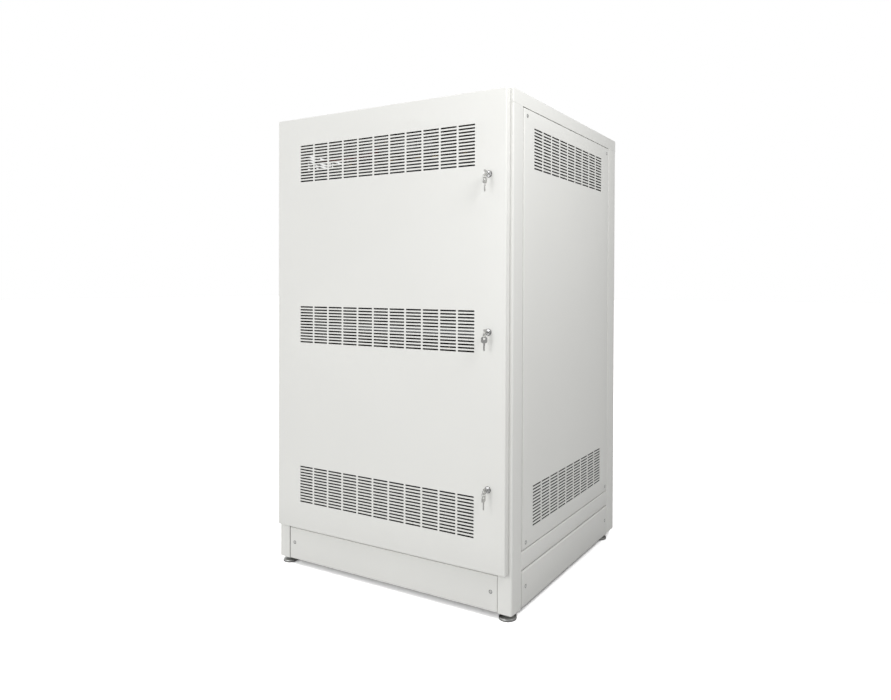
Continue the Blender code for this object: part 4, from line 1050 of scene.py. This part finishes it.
def make_lock(word):
    """Barrel with bezel, thread and nut; plug with its keyway; cam plate."""
    spot = middle_of(f"lock_barrel_{word}")
    seat = facing_front(Vector((spot.x, FRONT, spot.z)))
    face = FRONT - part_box(f"lock_barrel_{word}")[0].y
    door = FRONT - DOOR_LOW.y
    inside = door - SHEET
    touch = door + DOOR_TOUCH
    shoulder = BEZEL_RADIUS - RIM_WIDTH
    rim = [(BEZEL_RADIUS - inset, face - drop) for inset, drop in RIM_PROFILE]
    rim += [(BEZEL_RADIUS, touch), (shoulder, touch), rim[0]]
    barrel = [(LOCK_BORE + out, face - drop) for out, drop in BORE_PROFILE]
    barrel += [(BEZEL_RADIUS - inset, face - drop) for inset, drop in BEZEL_PROFILE]
    barrel += [(BEZEL_RADIUS - BEZEL_PROFILE[-1][0], touch), (BARREL_RADIUS, touch)]
    height = inside - THREAD_START
    while height > -THREAD_END:
        barrel += [(BARREL_RADIUS, height), (BARREL_RADIUS - BARREL_THREAD, height - BARREL_PITCH / 2)]
        height -= BARREL_PITCH
    barrel += [(BARREL_RADIUS - BARREL_TIP, -BARREL_TAIL), (LOCK_BORE, -BARREL_TAIL), barrel[0]]
    bm = bmesh.new()
    add(bm, lathe(barrel))
    # the bezel's outer rim in near-black: painted shade for the dark crescent round the lock
    add(bm, lathe(rim), slot=2)
    bottom, top = (inside - drop for drop in LOCK_NUT_SPAN)
    add(bm, hex_nut(LOCK_NUT_RADIUS, bottom, top, BARREL_RADIUS + LOCK_NUT_ROOM), slot=1)
    bm.transform(seat)
    piece(f"lock_body_{word}", bm, [CHROME, ZINC, PAINTED_SHADE_RIM], "door", [f"lock_barrel_{word}"])

    front = face + PLUG_PROUD
    plug = solid([(radius, front - drop) for radius, drop in PLUG_FRONT] + PLUG_BACK, LARGE_STEPS)
    plug = carved(plug, rounded_box(*KEYWAY))
    plug.transform(seat)
    piece(f"lock_core_{word}", plug, [CHROME], f"lock_{word}", [f"lock_plug_{word}"])

    low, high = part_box(f"lock_cam_{word}")
    half = (high.x - low.x) / 2
    outline = arc(0.0, high.z - spot.z - half, half, 0.0, 2 * QUARTER, CAM_STEPS)
    outline += arc(0.0, 0.0, half, 2 * QUARTER, 2 * QUARTER, CAM_STEPS)
    cam = plate([outline, round_hole(CAM_BORE)], high.y - low.y)
    cam.transform(facing_front(Vector((spot.x, (low.y + high.y) / 2, spot.z))))
    piece(f"lock_cam_plate_{word}", cam, [ZINC], f"lock_{word}", [f"lock_cam_{word}"])


def key_mesh():
    """A flat key: the hole's centre at the origin, the cut blade along local -Y."""
    top = KEY_HOLE_INSET
    half = BOW_SIZE / 2
    shoulder = top - BOW_SIZE
    tip = top - KEY_LENGTH
    right, left = half - BOW_CORNER, BOW_CORNER - half
    upper, lower = top - BOW_CORNER, shoulder + BOW_CORNER
    outline = []
    corners = ((right, upper, BOW_STEPS[0]), (left, upper, BOW_STEPS[0]), (left, lower, BOW_STEPS[1]))
    for turn, (x, y, steps) in enumerate(corners):
        outline += arc(x, y, BOW_CORNER, turn * QUARTER, QUARTER, steps)
    outline += [(-BLADE_HALF, shoulder)]
    outline += [(BLADE_HALF * across, tip + BLADE_HALF * along) for across, along in TIP_CORNERS]
    for index, depth in enumerate(KEY_CUTS):
        middle = tip + CUT_START + index * CUT_PITCH
        slope = depth * CUT_SLOPE
        floor = slope * CUT_FLOOR
        bottom = BLADE_HALF - depth
        outline += [(BLADE_HALF, middle - slope), (bottom, middle - floor), (bottom, middle + floor)]
        if slope < CUT_PITCH / 2:
            outline += [(BLADE_HALF, middle + slope)]
    outline += [(BLADE_HALF, shoulder)]
    outline += arc(right, lower, BOW_CORNER, -QUARTER, QUARTER, BOW_STEPS[1])
    flat = plate([outline, round_hole(KEY_HOLE_RADIUS)], KEY_SHEET)
    grooves = bmesh.new()
    for side in (-1, 1):
        level = side * (KEY_SHEET / 2 + GROOVE_LIFT)
        low = (GROOVE_SIDES[0], tip + GROOVE_END, level - GROOVE_HALF)
        high = (GROOVE_SIDES[1], shoulder + GROOVE_END, level + GROOVE_HALF)
        add(grooves, rounded_box(low, high, GROOVE_EDGE, 1))
    return carved(flat, grooves)


def make_key(name, node, body, matrix):
    key = key_mesh()
    key.transform(matrix)
    piece(name, key, [NICKEL], body, [node])


def make_ring(word, centre):
    """The split ring, a flat coil of nearly two turns."""
    points = []
    for step in range(RING_STEPS + 1):
        part = step / RING_STEPS
        angle = QUARTER + FULL_TURN * RING_TURNS * part
        rise = (part - 0.5) * RING_PITCH * RING_WIRE
        points.append((RING_RADIUS * math.cos(angle), RING_RADIUS * math.sin(angle), rise))
    ring = tube(points, RING_WIRE)
    ring.transform(moved(centre) @ turned(RING_TURN[word], "Z") @ facing_front(Vector()))
    piece(f"split_ring_{word}", ring, [NICKEL], f"ring_{word}",
          [f"key_ring_{word}"], RING_SMOOTH)


def make_keys(word):
    """The key in the lock, the split ring through its bow and the spare key that hangs from it."""
    centre = Vector(JOINTS[f"ring_spin_{word}"]["pos_m"])
    held = moved(centre + UP * KEY_DROP) @ Matrix(((0, 0, 1), (0, -1, 0), (1, 0, 0))).to_4x4()
    swung = turned(SPARE_TURN[word], "Z") @ turned(QUARTER, "Z") @ turned(QUARTER, "X")
    hanging = moved(centre - UP * KEY_DROP) @ swung
    make_key(f"lock_key_{word}", f"key_{word}", f"key_{word}_held", held)
    make_ring(word, centre)
    make_key(f"hanging_key_{word}", f"spare_key_{word}", f"spare_{word}", hanging)


# ------ battery blocks
def block_mesh():
    """One sealed block: ribbed case, lid with its seam, vent caps and terminal posts.

    Material slots: 0 case, 1 lid, 2 posts, 3 and 4 the two posts' collars. A tier's mat is slot 5.
    """
    wide, deep, tall = BLOCK
    lid = tall - LID_HEIGHT
    bm = bmesh.new()
    add(bm, rounded_box((0, 0, 0), (wide, deep, lid), BLOCK_EDGE))
    across, out, up = RIB_SIZE
    for step in range(RIBS):
        x = wide * (step + 1) / (RIBS + 1)
        for y in (-RIB_SINK[0], deep - RIB_SINK[1]):
            add(bm, rounded_box((x - across, y, up), (x + across, y + out, lid - up), RIB_EDGE, 2))
    seam_low = (SEAM_INSET, SEAM_INSET, lid - SEAM_HALF)
    seam_high = (wide - SEAM_INSET, deep - SEAM_INSET, lid + SEAM_HALF)
    add(bm, rounded_box(seam_low, seam_high, SEAM_EDGE, 1), slot=1)
    add(bm, rounded_box((0, 0, lid + LID_RISE), (wide, deep, tall - LID_SINK), LID_EDGE), slot=1)
    for inset, near, far in LEDGES:
        ledge_low = (inset, near, tall - LEDGE_DEPTH)
        add(bm, rounded_box(ledge_low, (wide - inset, far, tall), LEDGE_EDGE), slot=1)
    for step in range(VENTS):
        place = moved((wide / 2, VENT_START + step * VENT_PITCH, tall))
        add(bm, solid(VENT_CAP, SMALL_STEPS), place, 1)
        add(bm, rounded_box(*VENT_SLOT), place, 1)
    for index, x in enumerate((TERMINAL_INSET, wide - TERMINAL_INSET)):
        place = moved((x, TERMINAL_INSET, tall - POST_SINK))
        add(bm, solid(COLLAR, MIDDLE_STEPS), place, 3 + index)
        add(bm, solid(PILLAR, MIDDLE_STEPS), place, 2)
    return mesh_of(bm, "battery_block")


def make_tiers():
    """Each tier's ten blocks as one piece, and the links that join them in a string as another."""
    block = block_mesh()
    for tier in TIERS:
        node = f"battery_tier_{tier}"
        low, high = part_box(node)
        pitch = high - low - BLOCK
        pitch.x /= BLOCKS_ACROSS - 1
        base = low.z + MAT_SHEET
        blocks = bmesh.new()
        links = bmesh.new()
        add(blocks, rounded_box(low, (high.x, high.y, base), FINE_EDGE, 1), slot=5)
        for across in range(BLOCKS_ACROSS):
            for deep in range(BLOCKS_DEEP):
                corner = Vector((low.x + across * pitch.x, low.y + deep * pitch.y, base))
                mesh = block.copy()
                mesh.transform(moved(corner))
                add_mesh(blocks, mesh)
                if across < BLOCKS_ACROSS - 1:
                    add_link(links, corner, pitch.x)
        materials = [CASE_AND_SHADE, LID_AND_SHADE, LEAD, RED_PLASTIC, BLACK_PLASTIC, RUBBER]
        piece(f"{node}_blocks", blocks, materials, "cabinet", [node])
        piece(f"{node}_links", links, [BRASS, BLACK_PLASTIC, ZINC], "cabinet")
    bpy.data.meshes.remove(block)


def add_link(links, corner, pitch):
    """A sleeved bar from a block's second terminal to the next block's first, with its two bolts."""
    top = corner.z + BLOCK.z + LINK_RISE
    y = corner.y + TERMINAL_INSET
    start = corner.x + BLOCK.x - TERMINAL_INSET
    end = corner.x + pitch + TERMINAL_INSET
    for slot, (along, half, bottom, height, edge) in enumerate((LINK_BAR, LINK_SLEEVE)):
        low = (start - along, y - half, top + bottom)
        add(links, rounded_box(low, (end + along, y + half, top + height), edge), slot=slot)
    for x in (start, end):
        place = moved((x, y, top + LINK_BAR[3]))
        add(links, solid(WASHER, SMALL_STEPS), place, 2)
        add(links, hexagon(*BOLT_HEAD), place, 2)


# ------ switchgear
def make_breaker():
    """Moulded-case breaker: body with a raised front, the toggle's slot and rivets; and its toggle."""
    low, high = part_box("breaker_body")
    pivot = Vector(JOINTS["toggle_throw"]["pos_m"])
    side, step, end = BREAKER_STEP
    body = rounded_box(low + Vector((0, step, 0)), high, BREAKER_EDGE)
    front_high = (high.x - side, high.y - BREAKER_FRONT_DEPTH, high.z - end)
    front = rounded_box(low + Vector((side, 0, end)), front_high, BREAKER_FRONT_EDGE)
    bm = bmesh.new()
    for part in (body, front):
        room = rounded_box(*TOGGLE_ROOM)
        room.transform(moved(pivot))
        add(bm, carved(part, room))
    for pole in (-1, 0, 1):
        for z in (low.z + RIVET_RISE, high.z - RIVET_RISE):
            spot = Vector(((low.x + high.x) / 2 + pole * POLE_PITCH, low.y + step, z))
            add(bm, lathe(RIVET, SMALL_STEPS), facing_front(spot), 1)
    piece("breaker_case", bm, [BREAKER_PLASTIC, BRASS], "cabinet", ["breaker_body"])

    toggle = bmesh.new()
    add(toggle, solid(ROTOR, LARGE_STEPS), turned(QUARTER, "Y"))
    add(toggle, rounded_box(*LEVER), turned(LEVER_TILT, "X"))
    toggle.transform(moved(pivot))
    piece("breaker_lever", toggle, [TOGGLE_PLASTIC], "toggle", ["breaker_toggle"])


def make_terminal_block():
    """The output terminals: a block with a barrier between two studs, each with its nut and washer."""
    low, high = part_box("output_terminals")
    middle = middle_of("output_terminals")
    front = low.y + TERMINAL_DEPTH
    half, near, inset, far = BARRIER
    bm = bmesh.new()
    add(bm, rounded_box((low.x, front, low.z), high, TERMINAL_EDGE))
    barrier_low = (middle.x - half, low.y + near, low.z + inset)
    add(bm, rounded_box(barrier_low, (middle.x + half, front + far, high.z - inset), BARRIER_EDGE))
    for x in OUTPUT_PLACES:
        place = facing_front(Vector((middle.x + x, front, middle.z)))
        add(bm, solid(OUTPUT_STUD, MIDDLE_STEPS), place, 1)
        add(bm, hex_nut(*OUTPUT_NUT), place, 1)
        add(bm, lathe(OUTPUT_WASHER, MIDDLE_STEPS), place, 1)
    piece("terminal_block", bm, [BREAKER_PLASTIC, BRASS], "cabinet", ["output_terminals"])


def make_boots():
    """Soft boots on the battery ends of the two cables."""
    low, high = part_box("battery_tier_4")
    for word, side, colour, material in (
        ("positive", -1, "red", RED_PLASTIC),
        ("negative", 1, "black", BLACK_PLASTIC),
    ):
        boot = lathe(BOOT, LARGE_STEPS)
        spot = (side * (high.x - TERMINAL_INSET), low.y + TERMINAL_INSET, high.z)
        boot.transform(moved(spot))
        piece(f"cable_boot_{word}", boot, [material], "cabinet")


# ------ the frame's own nodes that stay
KEPT_FINISHES = {
    PAINT: ("front_sill", "floor_tray"),
    # these take the darkened galvanised tone, which is partly painted shade
    GALVANISED_AND_SHADE: ("gland_plate", "breaker_bracket", "shelf_1", "shelf_2", "shelf_3"),
    ZINC: ("door_stiffener", "hinge_frame_1", "hinge_frame_2", "hinge_frame_3", "hinge_door_1",
           "hinge_door_2", "hinge_door_3"),
    FOAM: ("door_gasket",),
    RED_PLASTIC: ("cable_positive",),
    BLACK_PLASTIC: ("cable_negative",),
}


def finish_kept_nodes():
    for material, names in KEPT_FINISHES.items():
        for name in names:
            for slot in frame["nodes"][name].material_slots:
                slot.material = material


# ------ studio
def make_stage():
    """A plain pale floor, a surround that is bright to the left and above, and two soft lights."""
    bm = bmesh.new()
    bmesh.ops.create_grid(bm, x_segments=1, y_segments=1, size=FLOOR_HALF)
    floor = shown("studio_floor", mesh_of(bm, "studio_floor"))
    nodes = new_material("pale_floor")
    white = nodes.add("BsdfDiffuse", Color=(*[FLOOR_WHITENESS] * 3, 1.0))
    glow = nodes.add("Emission", Strength=FLOOR_GLOW)
    seen = nodes.add("AddShader")
    nodes.feed(seen.inputs[0], white.outputs["BSDF"])
    nodes.feed(seen.inputs[1], glow.outputs["Emission"])
    bounce = nodes.add("BsdfDiffuse", Color=(*[FLOOR_BOUNCE] * 3, 1.0))
    nodes.split(bounce.outputs["BSDF"], seen.outputs["Shader"], "Material Output")
    floor.data.materials.append(nodes.owner)
    make_surround()
    bpy.context.scene.view_settings.view_transform = "Standard"
    for light in LIGHTS:
        add_light(*light)


def make_surround():
    """White to look at; as a light it is dim on the right of the cabinet and bright elsewhere."""
    nodes = Nodes(bpy.data.worlds.new("studio"))
    lit = nodes.tree.nodes["Background"]
    lit.inputs["Color"].default_value = WHITE
    place = nodes.add("SeparateXYZ", Vector=nodes.place.node.outputs["Generated"])
    ramp = nodes.spread(place.outputs["X"], SURROUND_LEFT, SURROUND_RIGHT, *SURROUND_TURN,
                        interpolation_type="SMOOTHSTEP")
    nodes.feed(lit.inputs["Strength"], ramp)
    seen = nodes.add("Background", Color=WHITE)
    nodes.split(lit.outputs["Background"], seen.outputs["Background"], "World Output")
    bpy.context.scene.world = nodes.owner


def add_light(name, spot, target, size, power):
    light = bpy.data.lights.new(name, "AREA")
    obj = shown(name, with_settings(light, {"shape": "SQUARE", "size": size, "energy": power}))
    obj.location = spot
    obj.rotation_euler = (Vector(target) - Vector(spot)).to_track_quat("-Z", "Y").to_euler()
    obj.visible_camera = False


def make_camera():
    """A camera at waist height, in front and to the right, its shift as the photograph frames it."""
    camera = bpy.data.cameras.new("camera")
    camera.sensor_width = CAMERA_SENSOR
    camera.lens = CAMERA_LENS
    camera.shift_x, camera.shift_y = CAMERA_SHIFT
    obj = shown("camera", camera)
    obj.location = CAMERA_PLACE
    obj.rotation_euler = [math.radians(turn) for turn in CAMERA_TURN]
    bpy.context.scene.camera = obj


# ------ the whole model
def main():
    make_door()
    for word, side in SIDES:
        make_side(word, side)
        for end in ENDS:
            make_post(word, side, end)
    make_front_plinth()
    make_rear_panel()
    make_cover()
    make_rails()
    for end in ENDS:
        for word, side in SIDES:
            make_foot(f"foot_{end}_{word}")
    for word in LOCK_WORDS:
        make_lock(word)
        make_keys(word)
    make_tiers()
    make_breaker()
    make_terminal_block()
    make_boots()
    finish_kept_nodes()
    make_stage()
    make_camera()


main()
